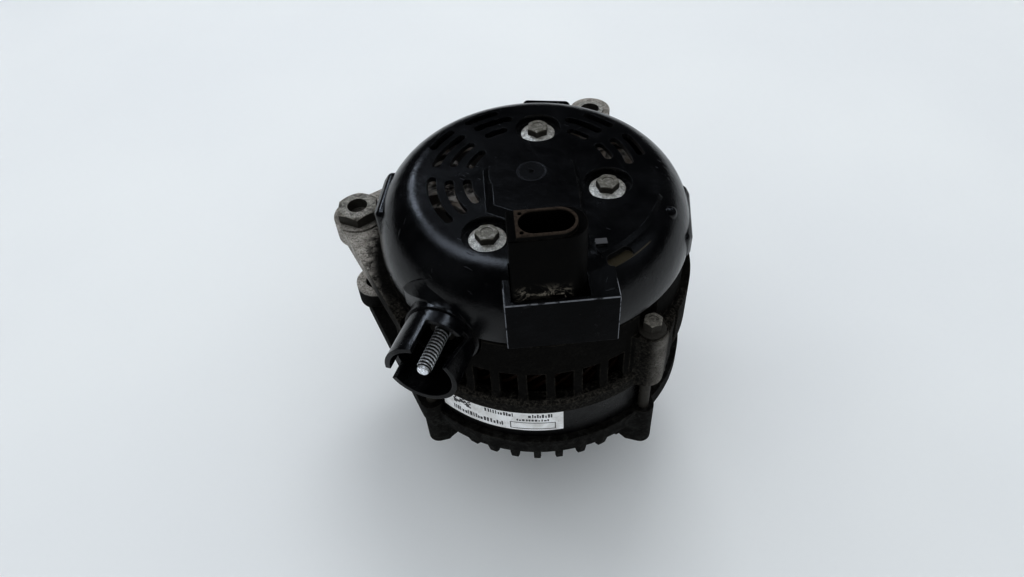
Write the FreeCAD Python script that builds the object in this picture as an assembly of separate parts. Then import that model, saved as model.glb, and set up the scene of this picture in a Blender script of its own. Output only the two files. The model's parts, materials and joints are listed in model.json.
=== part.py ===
import FreeCAD, Part
import math
import os

from FreeCAD import Vector

# Car alternator, claw-pole type, in millimetres.
# +Z is the rotor axis and points from the pulley to the rear cover.
# The origin is on the axis, in the flat nose face of the pulley, which is what the machine stands on.
# -Y is the side that the plug tower is on.

# ---------------------------------------------------------------- driving dimensions
CORE_R = 63.8            # stator core, outer radius
CORE_BORE = 51.5
CORE_Z = (58.0, 92.0)
SLOTS = 48
SLOT_WIDTH = 3.0
SLOT_R = (52.4, 59.6)
SLOT_MOUTH = 1.6
WIRE_WIDTH = 2.5
WIRE_R = ((52.7, 55.7), (56.2, 59.2))
END_TURN = 12.0          # how far the winding stands out of the core at each end

ROTOR_R = 51.1
CLAWS = 8
POLE_Z = (55.0, 93.0)
POLE_PLATE = 11.0
POLE_CORE_R = 24.0
COIL_R = (25.2, 36.4)
BOBBIN_WALL = 1.0

BOLT_R = 66.4            # through bolts
BOLT_SEATS = ((-141.0, 110.5), (-51.0, 117.5), (39.0, 117.5), (129.0, 117.5))
BOLT_ANGLES = tuple(angle for angle, seat in BOLT_SEATS)
BOLT_SHANK = 2.5
REAR_BOSS_R = 6.6
FRONT_BOSS_R = 4.8

WALL_R = 64.0            # rear bracket, outer wall
WALL = 3.2
FLANGE_R = 67.0
REAR_FLANGE_Z = (88.0, 93.5)
REAR_PLATE_Z = (112.5, 117.0)
REAR_RIM_Z = 129.5
RIB_PITCH = 10.0
REAR_WINDOW_Z = (95.0, 110.5)
REAR_WINDOW_WIDTH = 7.4

FRONT_FLANGE_Z = (57.5, 65.5)
FRONT_FACE_Z = 37.0
FRONT_HUB_Z = 28.5
FRONT_WALL_R = 62.2
FRONT_WALL = 2.4
FRONT_WINDOW_WIDTH = 6.6

COVER_R = 65.0           # rear cover
COVER_FLAT_R = 46.0
COVER_TOP = 157.6
COVER_SHOULDER = 25.0    # height of the elliptical shoulder
COVER_RIM = 131.0
COVER_WALL = 2.2
PLATFORM_R = 17.2        # raised middle of the cover
PLATFORM_RISE = 2.4
SHELF = dict(r=51.0, bevel=2.2, span=(-66.0, -20.0))
CUP_R = 9.7              # recess round each cover bolt
CUP_FLOOR = 154.0
COVER_BOLTS = ((32.2, 80.4), (30.5, -15.9), (36.9, -122.0))
SLOT_ROWS = (46.3, 40.2, 33.2, 26.0)
VENT_WIDTH = 3.6
# catches on the cover's rim: angle, outer face, top, half width
CLIPS = ((79.0, 65.9, 150.2, 7.5), (170.0, 65.2, 147.0, 10.5), (-10.0, 64.9, 142.0, 13.0))

LEDGE_Z = 154.5          # box on the cover that the plug tower stands in
LEDGE_X = (-15.7, 25.6)
LEDGE_Y = (-65.7, -45.5)

TOWER_X = (-12.4, 14.6)
TOWER_Y = (-63.4, -48.0)
TOWER_TOP = 183.0
RIM_TOP = 185.0
SOCKET_X = (-8.6, 10.2)
SOCKET_Y = (-62.2, -51.4)
SOCKET_FLOOR = 170.0

STUD_TIP = (-47.6, -70.3)
STUD_DIR = -113.1
STUD_Z = 128.0
STUD_R = 3.0
STUD_ROOT_R = 3.4        # the stud inside its base nut
STUD_SEAT = -20.0        # face of the base nut, from the stud's tip
NECK_R = 15.2            # collar on the cover round the output stud
NECK_BORE = 12.7
NECK_END = -18.5
SHROUD_R = 14.3          # insulating sleeve in the collar
SLEEVE_R = 12.5
SHROUD_WALL = 2.0
SHROUD_MOUTH = 1.5

EAR_L = (82.0, 161.5)    # ear pair with the nut
EAR_L_BOSS_R = 11.6
EAR_L_Z = (112.5, 123.0)
EAR_R = (85.5, 66.0)     # single ear behind
EAR_R_BOSS_R = 9.8

SHAFT_Z = (3.0, 145.0)
FRONT_BEARING = dict(bore=8.5, outer=23.5, z=(30.5, 44.5), pitch=16.0, ball=4.36, count=7, land=(12.7, 19.3))
REAR_BEARING = dict(bore=7.5, outer=17.5, z=(105.5, 116.5), pitch=12.5, ball=3.0, count=8, land=(10.2, 14.8))
RUN = 0.05               # running clearance, radial

RING_R = 8.0             # slip rings
RING_Z = ((124.0, 130.0), (134.0, 140.0))
BRUSH = (4.4, 5.4)       # brush width and height

PULLEY_R = 27.5
PULLEY_Z = (0.0, 26.5)
RIBS = 6
RIB_STEP = 3.56
RIB_DEPTH = 2.9

Z = Vector(0, 0, 1)


# ---------------------------------------------------------------- helpers
def polar(r, deg, z=0.0):
    """A point from radius, angle in degrees and height."""
    a = math.radians(deg)
    return Vector(r * math.cos(a), r * math.sin(a), z)


def cyl(r, z, at=(0.0, 0.0)):
    """An upright cylinder between the two heights in z."""
    return Part.makeCylinder(r, z[1] - z[0], Vector(at[0], at[1], z[0]))


def tube(r_in, r_out, z, at=(0.0, 0.0)):
    """An upright ring."""
    slack = 1.0
    return cyl(r_out, z, at).cut(cyl(r_in, (z[0] - slack, z[1] + slack), at))


def box(x, y, z):
    """A box between pairs of coordinates."""
    return Part.makeBox(x[1] - x[0], y[1] - y[0], z[1] - z[0], Vector(x[0], y[0], z[0]))


def turned(points):
    """A solid of revolution from a closed outline of (radius, height) points."""
    outline = [Vector(r, 0, z) for r, z in points]
    return revolve(Part.makePolygon(outline + outline[:1]))


def revolve(wire):
    return Part.Face(wire).revolve(Vector(0, 0, 0), Z, 360)


def spun(shape, deg):
    """A copy of the shape turned about the rotor axis."""
    copy = shape.copy()
    copy.rotate(Vector(0, 0, 0), Z, deg)
    return copy


def round_copies(shape, count, start=0.0):
    return [spun(shape, start + k * 360.0 / count) for k in range(count)]


def sector(r_in, r_out, a, z):
    """A piece of ring between the two angles in a."""
    height = z[1] - z[0]
    base = Vector(0, 0, z[0])
    whole = Part.makeCylinder(r_out, height, base, Z, a[1] - a[0])
    hollow = Part.makeCylinder(r_in, height, base)
    return spun(whole.cut(hollow), a[0])


def fused(shapes):
    first, rest = shapes[0], shapes[1:]
    return first.multiFuse(rest).removeSplitter() if rest else first


def cut(shape, tools):
    return shape.cut(Part.makeCompound(tools)) if tools else shape


def upright(edge):
    return abs(edge.tangentAt(edge.FirstParameter).z) > 0.99


def rounded(shape, radius, chosen):
    """The shape with a fillet on each edge that the test picks."""
    return shape.makeFillet(radius, [edge for edge in shape.Edges if chosen(edge)])


def hull(circles, z):
    """The plate that a belt round two circles (x, y, r) would enclose."""
    (x1, y1, r1), (x2, y2, r2) = circles
    dx, dy = x2 - x1, y2 - y1
    base = math.atan2(dy, dx)
    lean = math.acos((r1 - r2) / math.hypot(dx, dy))
    corners = []
    for (x, y, r), side in (((x1, y1, r1), 1), ((x2, y2, r2), 1), ((x2, y2, r2), -1), ((x1, y1, r1), -1)):
        a = base + side * lean
        corners.append(Vector(x + r * math.cos(a), y + r * math.sin(a), z[0]))
    strip = Part.Face(Part.makePolygon(corners + corners[:1])).extrude(Vector(0, 0, z[1] - z[0]))
    return fused([strip, cyl(r1, z, (x1, y1)), cyl(r2, z, (x2, y2))])


def hexagon(across_flats, z, at=(0.0, 0.0), turn=0.0):
    """A hexagonal prism with chamfered top corners."""
    radius = across_flats / math.sqrt(3)
    corners = [polar(radius, turn + 60 * k, z[0]) + Vector(at[0], at[1], 0) for k in range(7)]
    prism = Part.Face(Part.makePolygon(corners)).extrude(Vector(0, 0, z[1] - z[0]))
    top = across_flats / 2 * 0.96
    slope = radius * 1.02 - top
    cone_height = slope * 0.58
    cap = Part.makeCone(radius * 1.02, top, cone_height, Vector(at[0], at[1], z[1] - cone_height))
    keep = cyl(radius * 1.02, (z[0], z[1] - cone_height), at).fuse(cap)
    return prism.common(keep)


def flange_bolt(at, seat, across_flats, flange_r, head, shank_r, length, turn=0.0):
    """A hexagon flange bolt that points down from its seat."""
    flange_edge, flange_rise = 0.8, 1.4
    flange = cyl(flange_r, (seat, seat + flange_edge), at)
    cone = Part.makeCone(flange_r, across_flats / 2, flange_rise - flange_edge + 0.2,
                         Vector(at[0], at[1], seat + flange_edge))
    body = hexagon(across_flats, (seat + flange_edge, seat + head), at, turn)
    dish_r, dish_depth = across_flats * 0.3, 0.3
    dish = cyl(dish_r, (seat + head - dish_depth, seat + head + 1), at)
    shank = cyl(shank_r, (seat - length, seat), at)
    return fused([flange, cone, body, shank]).cut(dish)


def xy(polar_pair):
    point = polar(*polar_pair)
    return (point.x, point.y)


def along_stud(shape):
    """Moves a shape built along +Z to the output stud's axis; its origin lands on the stud's tip."""
    copy = shape.copy()
    copy.rotate(Vector(0, 0, 0), Vector(0, 1, 0), 90)
    copy.rotate(Vector(0, 0, 0), Z, STUD_DIR)
    copy.translate(Vector(STUD_TIP[0], STUD_TIP[1], STUD_Z))
    return copy


def stud_cyl(r, s):
    """A cylinder on the stud's axis between two distances from the tip; negative is inwards."""
    return along_stud(cyl(r, s))


# ---------------------------------------------------------------- stator
def stator_core():
    body = tube(CORE_BORE, CORE_R, CORE_Z)
    slack = 1.0
    deep = (CORE_Z[0] - slack, CORE_Z[1] + slack)
    slot = box(SLOT_R, (-SLOT_WIDTH / 2, SLOT_WIDTH / 2), deep)
    mouth = box((CORE_BORE - slack, SLOT_R[0] + slack), (-SLOT_MOUTH / 2, SLOT_MOUTH / 2), deep)
    return cut(body, round_copies(slot.fuse(mouth), SLOTS))


def wire_section(r, deg, z):
    """The outline of one flat conductor at an angle on the winding."""
    half = math.degrees(WIRE_WIDTH / 2 / (sum(r) / 2))
    corners = [polar(r[0], deg - half, z), polar(r[1], deg - half, z),
               polar(r[1], deg + half, z), polar(r[0], deg + half, z)]
    return Part.makePolygon(corners + corners[:1])


def conductor(r, lean):
    """One bar through a slot, leaning over by 1.5 slots at each end."""
    step = 360.0 / SLOTS
    low, high = CORE_Z
    straight = 1.5
    stations = ((low - END_TURN, lean * 1.5 * step), (low - straight, 0.0),
                (high + straight, 0.0), (high + END_TURN, -lean * 1.5 * step))
    return Part.makeLoft([wire_section(r, a, z) for z, a in stations], True, True)


def stator_winding():
    bars = []
    for r, lean in zip(WIRE_R, (1, -1)):
        bars += round_copies(conductor(r, lean), SLOTS)
    return Part.makeCompound(bars)


# ---------------------------------------------------------------- housing
def boss_column(angle, z, r, root_size=11.0):
    """A column for one through bolt, joined to the round wall."""
    root_r = 56.0
    return hull([(*xy((BOLT_R, angle)), r), (*xy((root_r, angle)), root_size)], z)


def boss_foot(angle):
    """The broad lower part of a rear boss, drawn in towards its top."""
    low, high = REAR_FLANGE_Z[0] + 1.0, 108.0
    rings = []
    for z, r, root_half in ((low, 71.6, 17.0), (high, 70.4, 11.0)):
        ring = [polar(56.0, angle - root_half, z), polar(r, angle - root_half * 0.28, z),
                polar(r, angle + root_half * 0.28, z), polar(56.0, angle + root_half, z)]
        rings.append(Part.makePolygon(ring + ring[:1]))
    return Part.makeLoft(rings, True, True)


def boss_pad(angle, aside, seat):
    """The shoulder beside a rear boss, which spreads it along the wall below the bolt's seat."""
    z = (REAR_FLANGE_Z[0], seat - 3.5)
    boss, end = (*xy((BOLT_R, angle)), REAR_BOSS_R), (*xy((64.0, angle + aside)), 4.6)
    root = (*xy((56.0, angle + aside)), 8.0)
    return fused([hull([boss, end], z), hull([end, root], z)])


def bolt_holes(z, r):
    return [cyl(r, z, xy((BOLT_R, a))) for a in BOLT_ANGLES]


def window_angles(first, clear):
    """Windows on the rib pitch, leaving out those within the clear angle of a through bolt."""
    angles = [first + RIB_PITCH * k for k in range(round(360 / RIB_PITCH))]
    apart = lambda a, b: abs((a - b + 180) % 360 - 180)
    return [a for a in angles if all(apart(a, b) > clear for b in BOLT_ANGLES)]


def core_room():
    """The space the stator core takes up between the two brackets."""
    return cyl(CORE_R + 0.05, (CORE_Z[0] - 0.02, CORE_Z[1] + 0.02))


def ear(centre, boss_r, z, arms, arm_z, arm_r):
    """A mounting ear: a round boss with an arm to each of the given (radius, angle, size) roots."""
    x, y = xy(centre)
    parts = [cyl(boss_r, z, (x, y))]
    for radius, angle, size in arms:
        root = polar(radius, angle)
        parts.append(hull([(x, y, arm_r), (root.x, root.y, size)], arm_z))
    return parts


def rear_bracket():
    plate_low, plate_high = REAR_PLATE_Z
    inner = WALL_R - WALL
    hub_r = 22.0
    seat = REAR_BEARING["outer"]
    hub_low = REAR_BEARING["z"][0] - 1.0
    hub_step = REAR_BEARING["z"][1] + 0.02
    mouth_r = REAR_BEARING["bore"] + 4.0
    wall = turned([
        (seat + 0.02, hub_low), (hub_r, hub_low), (hub_r + 1.5, plate_low), (inner, plate_low),
        (inner, CORE_Z[1] + 0.02), (CORE_R + 0.05, CORE_Z[1] + 0.02),
        (CORE_R + 0.05, REAR_FLANGE_Z[0]), (FLANGE_R, REAR_FLANGE_Z[0]), (FLANGE_R, REAR_FLANGE_Z[1]),
        (WALL_R + 0.6, REAR_FLANGE_Z[1] + 2.5), (WALL_R, REAR_FLANGE_Z[1] + 4.0), (WALL_R, REAR_RIM_Z - 1.5),
        (WALL_R - 1.5, REAR_RIM_Z), (inner - 1.0, REAR_RIM_Z), (inner - 1.0, plate_high),
        (hub_r, plate_high), (hub_r - 1.0, plate_high + 1.5), (mouth_r, plate_high + 1.5),
        (mouth_r, hub_step), (seat + 0.02, hub_step)])
    solids = [wall]
    keep_out = cyl(inner, (0, plate_low))
    solids += [boss_column(a, (REAR_FLANGE_Z[0], seat), REAR_BOSS_R).cut(keep_out) for a, seat in BOLT_SEATS]
    solids += [boss_foot(a).cut(keep_out) for a in BOLT_ANGLES]
    solids += [boss_pad(a, 11.0 if a < 0 else -11.0, seat).cut(keep_out) for a, seat in BOLT_SEATS]
    side_pad = sector(60.0, 67.6, (-34.0, 2.0), (REAR_FLANGE_Z[0] + 2.0, 112.0))
    solids.append(side_pad.cut(keep_out))
    post_r = 5.2
    solids += [cyl(post_r, (plate_low, CUP_FLOOR - COVER_WALL), xy(p)) for p in COVER_BOLTS]
    arms_l = ((BOLT_R, BOLT_ANGLES[0], 5.5), (BOLT_R, BOLT_ANGLES[3], 5.5))
    ear_l = ear(EAR_L, EAR_L_BOSS_R, EAR_L_Z, arms_l, (EAR_L_Z[0] + 1.0, EAR_L_Z[1] - 0.8), 10.4)
    web_low = EAR_L_Z[0]
    web_arm = (60.0, 164.0, 9.0)
    web = ear(EAR_L, 6.0, (web_low, web_low + 1.0), (web_arm,), (web_low + 0.5, web_low + 3.0), 9.0)
    solids += [s.cut(cyl(inner, (0, 200))) for s in ear_l + web]
    arms_r = ((BOLT_R, BOLT_ANGLES[2], 5.5), (60.0, 92.0, 9.0), (60.0, 66.0, 6.0))
    ear_r = ear(EAR_R, EAR_R_BOSS_R, (110.0, 132.0), arms_r, (112.0, 121.0), 8.0)
    solids += [s.cut(cyl(inner, (0, 200))) for s in ear_r]
    body = fused(solids)
    tools = bolt_holes((80.0, 125.0), BOLT_SHANK + 0.25) + [core_room()]
    tools += [cyl(5.9, (seat, 140.0), xy((BOLT_R, a))) for a, seat in BOLT_SEATS]
    window = box((inner - 2.0, WALL_R + 1.2), (-REAR_WINDOW_WIDTH / 2, REAR_WINDOW_WIDTH / 2), REAR_WINDOW_Z)
    tools += [spun(window, a) for a in window_angles(-85.0, 5.0)]
    inlet = sector(27.0, 44.0, (-9.0, 9.0), (plate_low - 1, plate_high + 1))
    tools += round_copies(inlet, 12, 15.0)
    keep = [cyl(9.0, (plate_low - 2, plate_high + 2), xy(p)) for p in COVER_BOLTS]
    tools = [cut(t, keep) for t in tools]
    thread_hole = (REAR_PLATE_Z[0] + 8.0, 160.0)
    tools += [cyl(2.5, thread_hole, xy(p)) for p in COVER_BOLTS]
    tools.append(cyl(5.5, (100.0, 130.0), xy(EAR_L)))
    tools.append(cyl(6.5, (100.0, 140.0), xy(EAR_R)))
    tools.append(stud_cyl(NECK_R + 0.7, (-30.0, 5.0)))
    return cut(body, tools)


def front_bracket():
    inner = FRONT_WALL_R - FRONT_WALL
    seat = FRONT_BEARING["outer"]
    bearing_low, bearing_high = FRONT_BEARING["z"]
    hub_r = seat + 4.5
    face = FRONT_FACE_Z
    wall = turned([
        (seat - 3.0, FRONT_HUB_Z), (hub_r - 1.0, FRONT_HUB_Z), (hub_r, FRONT_HUB_Z + 1.0),
        (hub_r + 2.0, face - 4.0), (52.0, face), (57.0, face + 0.4), (59.2, face + 1.8), (60.2, face + 4.0),
        (FRONT_WALL_R, face + 11.0),
        (FRONT_WALL_R + 0.5, FRONT_FLANGE_Z[0] - 2.0), (FLANGE_R, FRONT_FLANGE_Z[0]),
        (FLANGE_R, FRONT_FLANGE_Z[1]), (CORE_R + 0.05, FRONT_FLANGE_Z[1]), (CORE_R + 0.05, CORE_Z[0] - 0.02),
        (inner, CORE_Z[0] - 0.02), (inner, face + 9.0), (55.0, face + 4.5), (hub_r + 1.0, face + 2.0),
        (hub_r, bearing_high), (seat + 0.02, bearing_high), (seat + 0.02, bearing_low),
        (seat - 3.0, bearing_low)])
    solids = [wall]
    keep_out = cyl(inner, (face + 9.0, 200.0))
    columns = [boss_column(a, (face + 4.5, FRONT_FLANGE_Z[1]), FRONT_BOSS_R, 10.0) for a in BOLT_ANGLES]
    solids += [c.cut(keep_out) for c in columns]
    arms = ((BOLT_R, BOLT_ANGLES[0], 5.5), (BOLT_R, BOLT_ANGLES[3], 5.5))
    solids += [s.cut(keep_out) for s in ear(EAR_L, 10.2, (68.5, 79.0), arms, (60.0, 70.0), 7.5)]
    body = fused(solids)
    half, flare = FRONT_WINDOW_WIDTH / 2, 1.3
    wide = half + flare
    side = [(41.0, half), (57.0, half), (59.5, half + 0.4 * flare), (63.5, wide), (75.0, wide)]
    outline = [Vector(x, y, 20.0) for x, y in side] + [Vector(x, -y, 20.0) for x, y in reversed(side)]
    slot = Part.Face(Part.makePolygon(outline + outline[:1])).extrude(Vector(0, 0, face + 14.0 - 20.0))
    tools = [spun(slot, a) for a in window_angles(-91.5, 6.0)]
    tools += bolt_holes((45.0, 75.0), BOLT_SHANK + 0.02) + [core_room()]
    tools.append(cyl(5.5, (40.0, 90.0), xy(EAR_L)))
    screw_r, screw_hole = 27.0, 1.98
    tools += [cyl(screw_hole, (37.0, 60.0), xy((screw_r, 45.0 + 90 * k))) for k in range(4)]
    hub_ring = tube(seat, hub_r + 3.0, (face - 3.0, bearing_high))
    return fused([cut(body, tools), hub_ring.cut(Part.makeCompound(tools))])


def through_bolts():
    low = 48.0
    bolts = [flange_bolt(xy((BOLT_R, a)), seat, 7.0, 5.6, 5.8, BOLT_SHANK, seat - low, turn=12.0)
             for a, seat in BOLT_SEATS]
    return Part.makeCompound(bolts)


def cover_bolts():
    bolts = [flange_bolt(xy(p), CUP_FLOOR, 8.0, 7.3, 4.6, 2.48, 28.0, turn=p[1]) for p in COVER_BOLTS]
    return Part.makeCompound(bolts)


def ear_nut():
    x, y = xy(EAR_L)
    return hexagon(17.0, (EAR_L_Z[1], 128.0), (x, y), 32.0).cut(cyl(4.5, (120.0, 130.0), (x, y)))


def ear_sleeve():
    return tube(4.5, 6.5, (109.5, 132.5), xy(EAR_R))


def name_label():
    thickness = 0.2
    return sector(CORE_R + 0.02, CORE_R + thickness, (-135.5, -85.5), (70.2, 87.6))


# ---------------------------------------------------------------- rear cover
def dome(r, flat_r, top, shoulder, low):
    """A turned cap: flat on top, with an elliptical shoulder down to a straight skirt."""
    centre = Vector(flat_r, 0, top - shoulder)
    across, up = r - flat_r, shoulder
    knots = []
    steps = 24
    for k in range(steps + 1):
        t = math.pi / 2 * k / steps
        knots.append(centre + Vector(across * math.sin(t), 0, up * math.cos(t)))
    arc = Part.BSplineCurve()
    arc.interpolate(knots)
    start, end = knots[0], knots[-1]
    foot, apex, skirt = Vector(0, 0, low), Vector(0, 0, top), Vector(r, 0, low)
    edges = [Part.makeLine(foot, apex), Part.makeLine(apex, start), arc.toShape(),
             Part.makeLine(end, skirt), Part.makeLine(skirt, foot)]
    return revolve(Part.Wire(edges))


def clip_pocket(angle, face, top, half, inset):
    """The raised pocket for one catch; inset makes the smaller shape that hollows it."""
    x0, x1 = 50.0, face - inset
    half, top = half - inset, top - inset
    low = COVER_RIM - inset
    ramp, bevel = 3.5, 2.5
    outline = [Vector(x0, -half - ramp, low), Vector(x1 - 2.0, -half - ramp, low), Vector(x1, -half, low),
               Vector(x1, half, low), Vector(x1 - 2.0, half + ramp, low), Vector(x0, half + ramp, low)]
    block = Part.Face(Part.makePolygon(outline + outline[:1])).extrude(Vector(0, 0, top - low))
    slope = [Vector(x1 - bevel, -30, top), Vector(x1 + 1, -30, top), Vector(x1 + 1, -30, top - bevel - 1)]
    wedge = Part.Face(Part.makePolygon(slope + slope[:1])).extrude(Vector(0, 60, 0))
    block = block.cut(wedge)
    if not inset:
        outer = x1 - bevel - 0.1
        block = rounded(block, 2.4, lambda e: e.BoundBox.XMax > outer and e.BoundBox.ZMax > low + 1.0)
    return spun(block, angle)


def vent(r, width, a, low=130.0):
    """A round-ended curved slot through the cover's top, or a recess down to the given height."""
    half = width / 2
    inset = math.degrees(half / r)
    z = (low, 175.0)
    ends = [cyl(half, z, xy((r, a[0] + inset))), cyl(half, z, xy((r, a[1] - inset)))]
    return fused([sector(r - half, r + half, (a[0] + inset, a[1] - inset), z)] + ends)


VENTS = (
    (0, 37.0, 56.0), (0, 8.5, 29.0), (0, 103.5, 123.5), (0, 131.5, 150.5),
    (1, 38.0, 64.0), (1, 3.0, 29.5), (1, 97.0, 122.5), (1, 130.5, 164.5), (1, 173.5, 215.5),
    (2, 39.5, 58.0), (2, 11.0, 31.0), (2, 103.0, 121.5), (2, 132.5, 162.5), (2, 177.0, 215.0),
    (3, 134.0, 162.0), (3, 177.5, 211.5),
)


def platform():
    """The raised middle of the cover, with its long tongue to the plug tower and sloping sides."""
    low, high = COVER_TOP - 1.0, COVER_TOP + PLATFORM_RISE
    round_top = Part.makeCone(PLATFORM_R + 2.2, PLATFORM_R, high - low, Vector(0, 0, low))
    foot = ((-20.6, 7.0), (-20.6, -20.2), (-12.4, -25.2), (-12.4, -44.0),
            (18.6, -44.0), (20.2, -6.0), (19.0, 7.0))
    edge = ((-16.0, 4.5), (-16.0, -18.2), (-9.3, -22.4), (-9.3, -44.0),
            (16.0, -44.0), (17.2, -5.0), (16.2, 6.0))
    rings = []
    for ring, z in ((foot, low), (edge, high)):
        rings.append(Part.makePolygon([Vector(x, y, z) for x, y in ring + ring[:1]]))
    return [round_top, Part.makeLoft(rings, True, True)]


def shelf():
    """The crisp bevelled edge that the flat top keeps beside the plug tower."""
    r, bevel = SHELF["r"], SHELF["bevel"]
    low = COVER_TOP - 6.0
    inner = 44.0
    step = turned([(inner, low), (r + bevel, low), (r + bevel, COVER_TOP - bevel), (r, COVER_TOP),
                   (inner, COVER_TOP)])
    return step.common(sector(30.0, 60.0, SHELF["span"], (low - 1.0, COVER_TOP + 1.0)))


def stud_collar():
    """The collar round the output stud, with a hollow flare where it meets the dome above the rim."""
    collar = stud_cyl(NECK_R, (-27.0, NECK_END))
    wide, start, end = NECK_R + 6.5, -27.0, NECK_END - 1.0
    middle = Vector(NECK_R + 1.9, 0, start + (end - start) * 0.46)
    curve = Part.Arc(Vector(wide, 0, start), middle, Vector(NECK_R, 0, end)).toShape()
    corners = ((NECK_R, end), (0, end), (0, start), (wide, start))
    sides = Part.makePolygon([Vector(x, 0, z) for x, z in corners])
    flare = along_stud(revolve(Part.Wire([curve] + sides.Edges)))
    above_rim = cyl(COVER_R + 1.0, (COVER_RIM, COVER_TOP))
    return [collar, flare.common(above_rim)]


def rear_cover():
    wall, clip_wall = COVER_WALL, 1.8
    outer = dome(COVER_R, COVER_FLAT_R, COVER_TOP, COVER_SHOULDER, COVER_RIM)
    hollow = dome(COVER_R - wall, COVER_FLAT_R, COVER_TOP - wall, COVER_SHOULDER - 1.0, COVER_RIM - 1.0)
    clips = [clip_pocket(*clip, 0.0) for clip in CLIPS]
    clip_hollows = [clip_pocket(*clip, clip_wall) for clip in CLIPS]
    ledge = rounded(box(LEDGE_X, LEDGE_Y, (COVER_RIM, LEDGE_Z)), 0.7,
                    lambda e: upright(e) or e.BoundBox.ZMin > LEDGE_Z - 0.1)
    ledge_hollow = box((LEDGE_X[0] + wall, LEDGE_X[1] - wall), (LEDGE_Y[0] + wall, LEDGE_Y[1] + 6.0),
                       (COVER_RIM - 1.0, LEDGE_Z - wall))
    tab = box((-2.2, 2.2), (-1.4, 1.4), (COVER_TOP - 1.0, COVER_TOP + 1.2))
    tab.translate(polar(47.0, -62.4))
    bump = Part.makeSphere(2.6, polar(56.6, -24.7, COVER_TOP - 5.0))
    solid = fused([outer, ledge] + clips + platform() + stud_collar() + [shelf(), tab, bump])
    shell = cut(solid, [fused([hollow, ledge_hollow])] + clip_hollows)
    cups = [cyl(CUP_R + 1.8, (CUP_FLOOR - wall, COVER_TOP - 0.5), xy(p)) for p in COVER_BOLTS]
    body = fused([shell] + [c.common(outer) for c in cups])
    high = COVER_TOP + PLATFORM_RISE
    tools = [cyl(CUP_R, (CUP_FLOOR, high + 5.0), xy(p)) for p in COVER_BOLTS]
    tools += [cyl(2.8, (130.0, high + 5.0), xy(p)) for p in COVER_BOLTS]
    tools += [vent(SLOT_ROWS[row], VENT_WIDTH, (a, b)) for row, a, b in VENTS]
    tools.append(vent(54.6, 4.4, (-65.0, -53.0), 153.6))
    tools.append(stud_cyl(NECK_BORE, (-60.0, 5.0)))
    gap = 0.5
    tower_x = (TOWER_X[0] - gap, TOWER_X[1] + gap)
    tower_y = (TOWER_Y[0] - gap, TOWER_Y[1] + gap)
    tools.append(box(tower_x, tower_y, (140.0, 170.0)))
    gate_r = 5.6
    tools.append(tube(gate_r - 0.5, gate_r, (high - 0.25, high + 1.0)))
    tools.append(cyl(1.0, (high - 1.0, high + 1.0)))
    return cut(body, tools)


# ---------------------------------------------------------------- rectifier and output terminal
PLATE_SPAN_NEG = (-34.0, 204.0)
PLATE_SPAN_POS = (-34.0, 232.0)
DIODES_NEG = tuple(9.0 + 24.0 * k for k in range(6))
DIODES_POS = (12.0, 36.0, 60.0, 101.0, 126.0, 151.0)
DIODE_R = 6.0


def plate_holes(diodes, r):
    holes = [cyl(7.2, (110.0, 160.0), xy(p)) for p in COVER_BOLTS]
    return holes + [cyl(DIODE_R, (110.0, 160.0), xy((r, a))) for a in diodes]


def negative_heat_sink():
    plate = sector(24.0, 58.5, PLATE_SPAN_NEG, (REAR_PLATE_Z[1] + 0.5, 121.0))
    return cut(plate, plate_holes(DIODES_NEG, 49.0))


def positive_heat_sink():
    plate = sector(23.0, 54.0, PLATE_SPAN_POS, (139.0, 143.0))
    fins = [sector(23.0 + 4.5 * k, 24.6 + 4.5 * k, (212.0, 231.0), (134.5, 139.5)) for k in range(4)]
    block = along_stud(box((-15.0, 6.0), (-7.0, 7.0), (-41.0, -29.0)))
    body = fused([plate] + fins + [block])
    tools = plate_holes(DIODES_POS, 40.0) + [stud_cyl(STUD_ROOT_R + 0.02, (-60.0, 0.0))]
    tools += [cyl(CUP_R + 2.4, (135.0, 160.0), xy(COVER_BOLTS[2]))]
    return cut(body, tools)


def diodes(angles, r, z, lead):
    """Press-fit diodes: a knurled cup with a lead; lead is +1 if it points up."""
    cups = []
    for a in angles:
        at = xy((r, a))
        cup = cyl(DIODE_R, z, at)
        start = z[1] if lead > 0 else z[0]
        dome_low, dome_high = sorted((start, start + lead * 1.6))
        wire_low, wire_high = sorted((start + lead * 1.6, start + lead * 5.0))
        cups.append(fused([cup, cyl(3.6, (dome_low, dome_high), at), cyl(0.8, (wire_low, wire_high), at)]))
    return Part.makeCompound(cups)


def terminal_frame():
    """The moulded frame that carries the diode links between the two plates."""
    body = fused([sector(34.0, 56.0, (-26.0, 202.0), (129.0, 132.0)),
                  sector(34.0, 36.5, (-26.0, 202.0), (126.0, 134.0))])
    tools = [cyl(7.6, (110.0, 160.0), xy(p)) for p in COVER_BOLTS]
    tools += [cyl(1.4, (110.0, 160.0), xy((49.0, a))) for a in DIODES_NEG]
    tools += [cyl(1.4, (110.0, 160.0), xy((40.0, a))) for a in DIODES_POS]
    return cut(body, tools)


def b_plus_stud():
    tip = 1.4
    shank = cyl(STUD_ROOT_R, (-42.0, STUD_SEAT)).fuse(cyl(STUD_R, (STUD_SEAT, -tip)))
    cone = Part.makeCone(STUD_R, STUD_R - 1.0, tip, Vector(0, 0, -tip))
    collar = cyl(5.6, (-28.8, -27.0))
    return along_stud(fused([shank, cone, collar]))


def b_plus_base_nut():
    nut = hexagon(10.0, (-25.1, STUD_SEAT), turn=30.0).cut(cyl(STUD_ROOT_R + 0.02, (-30.0, 0.0)))
    return along_stud(nut)


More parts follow.
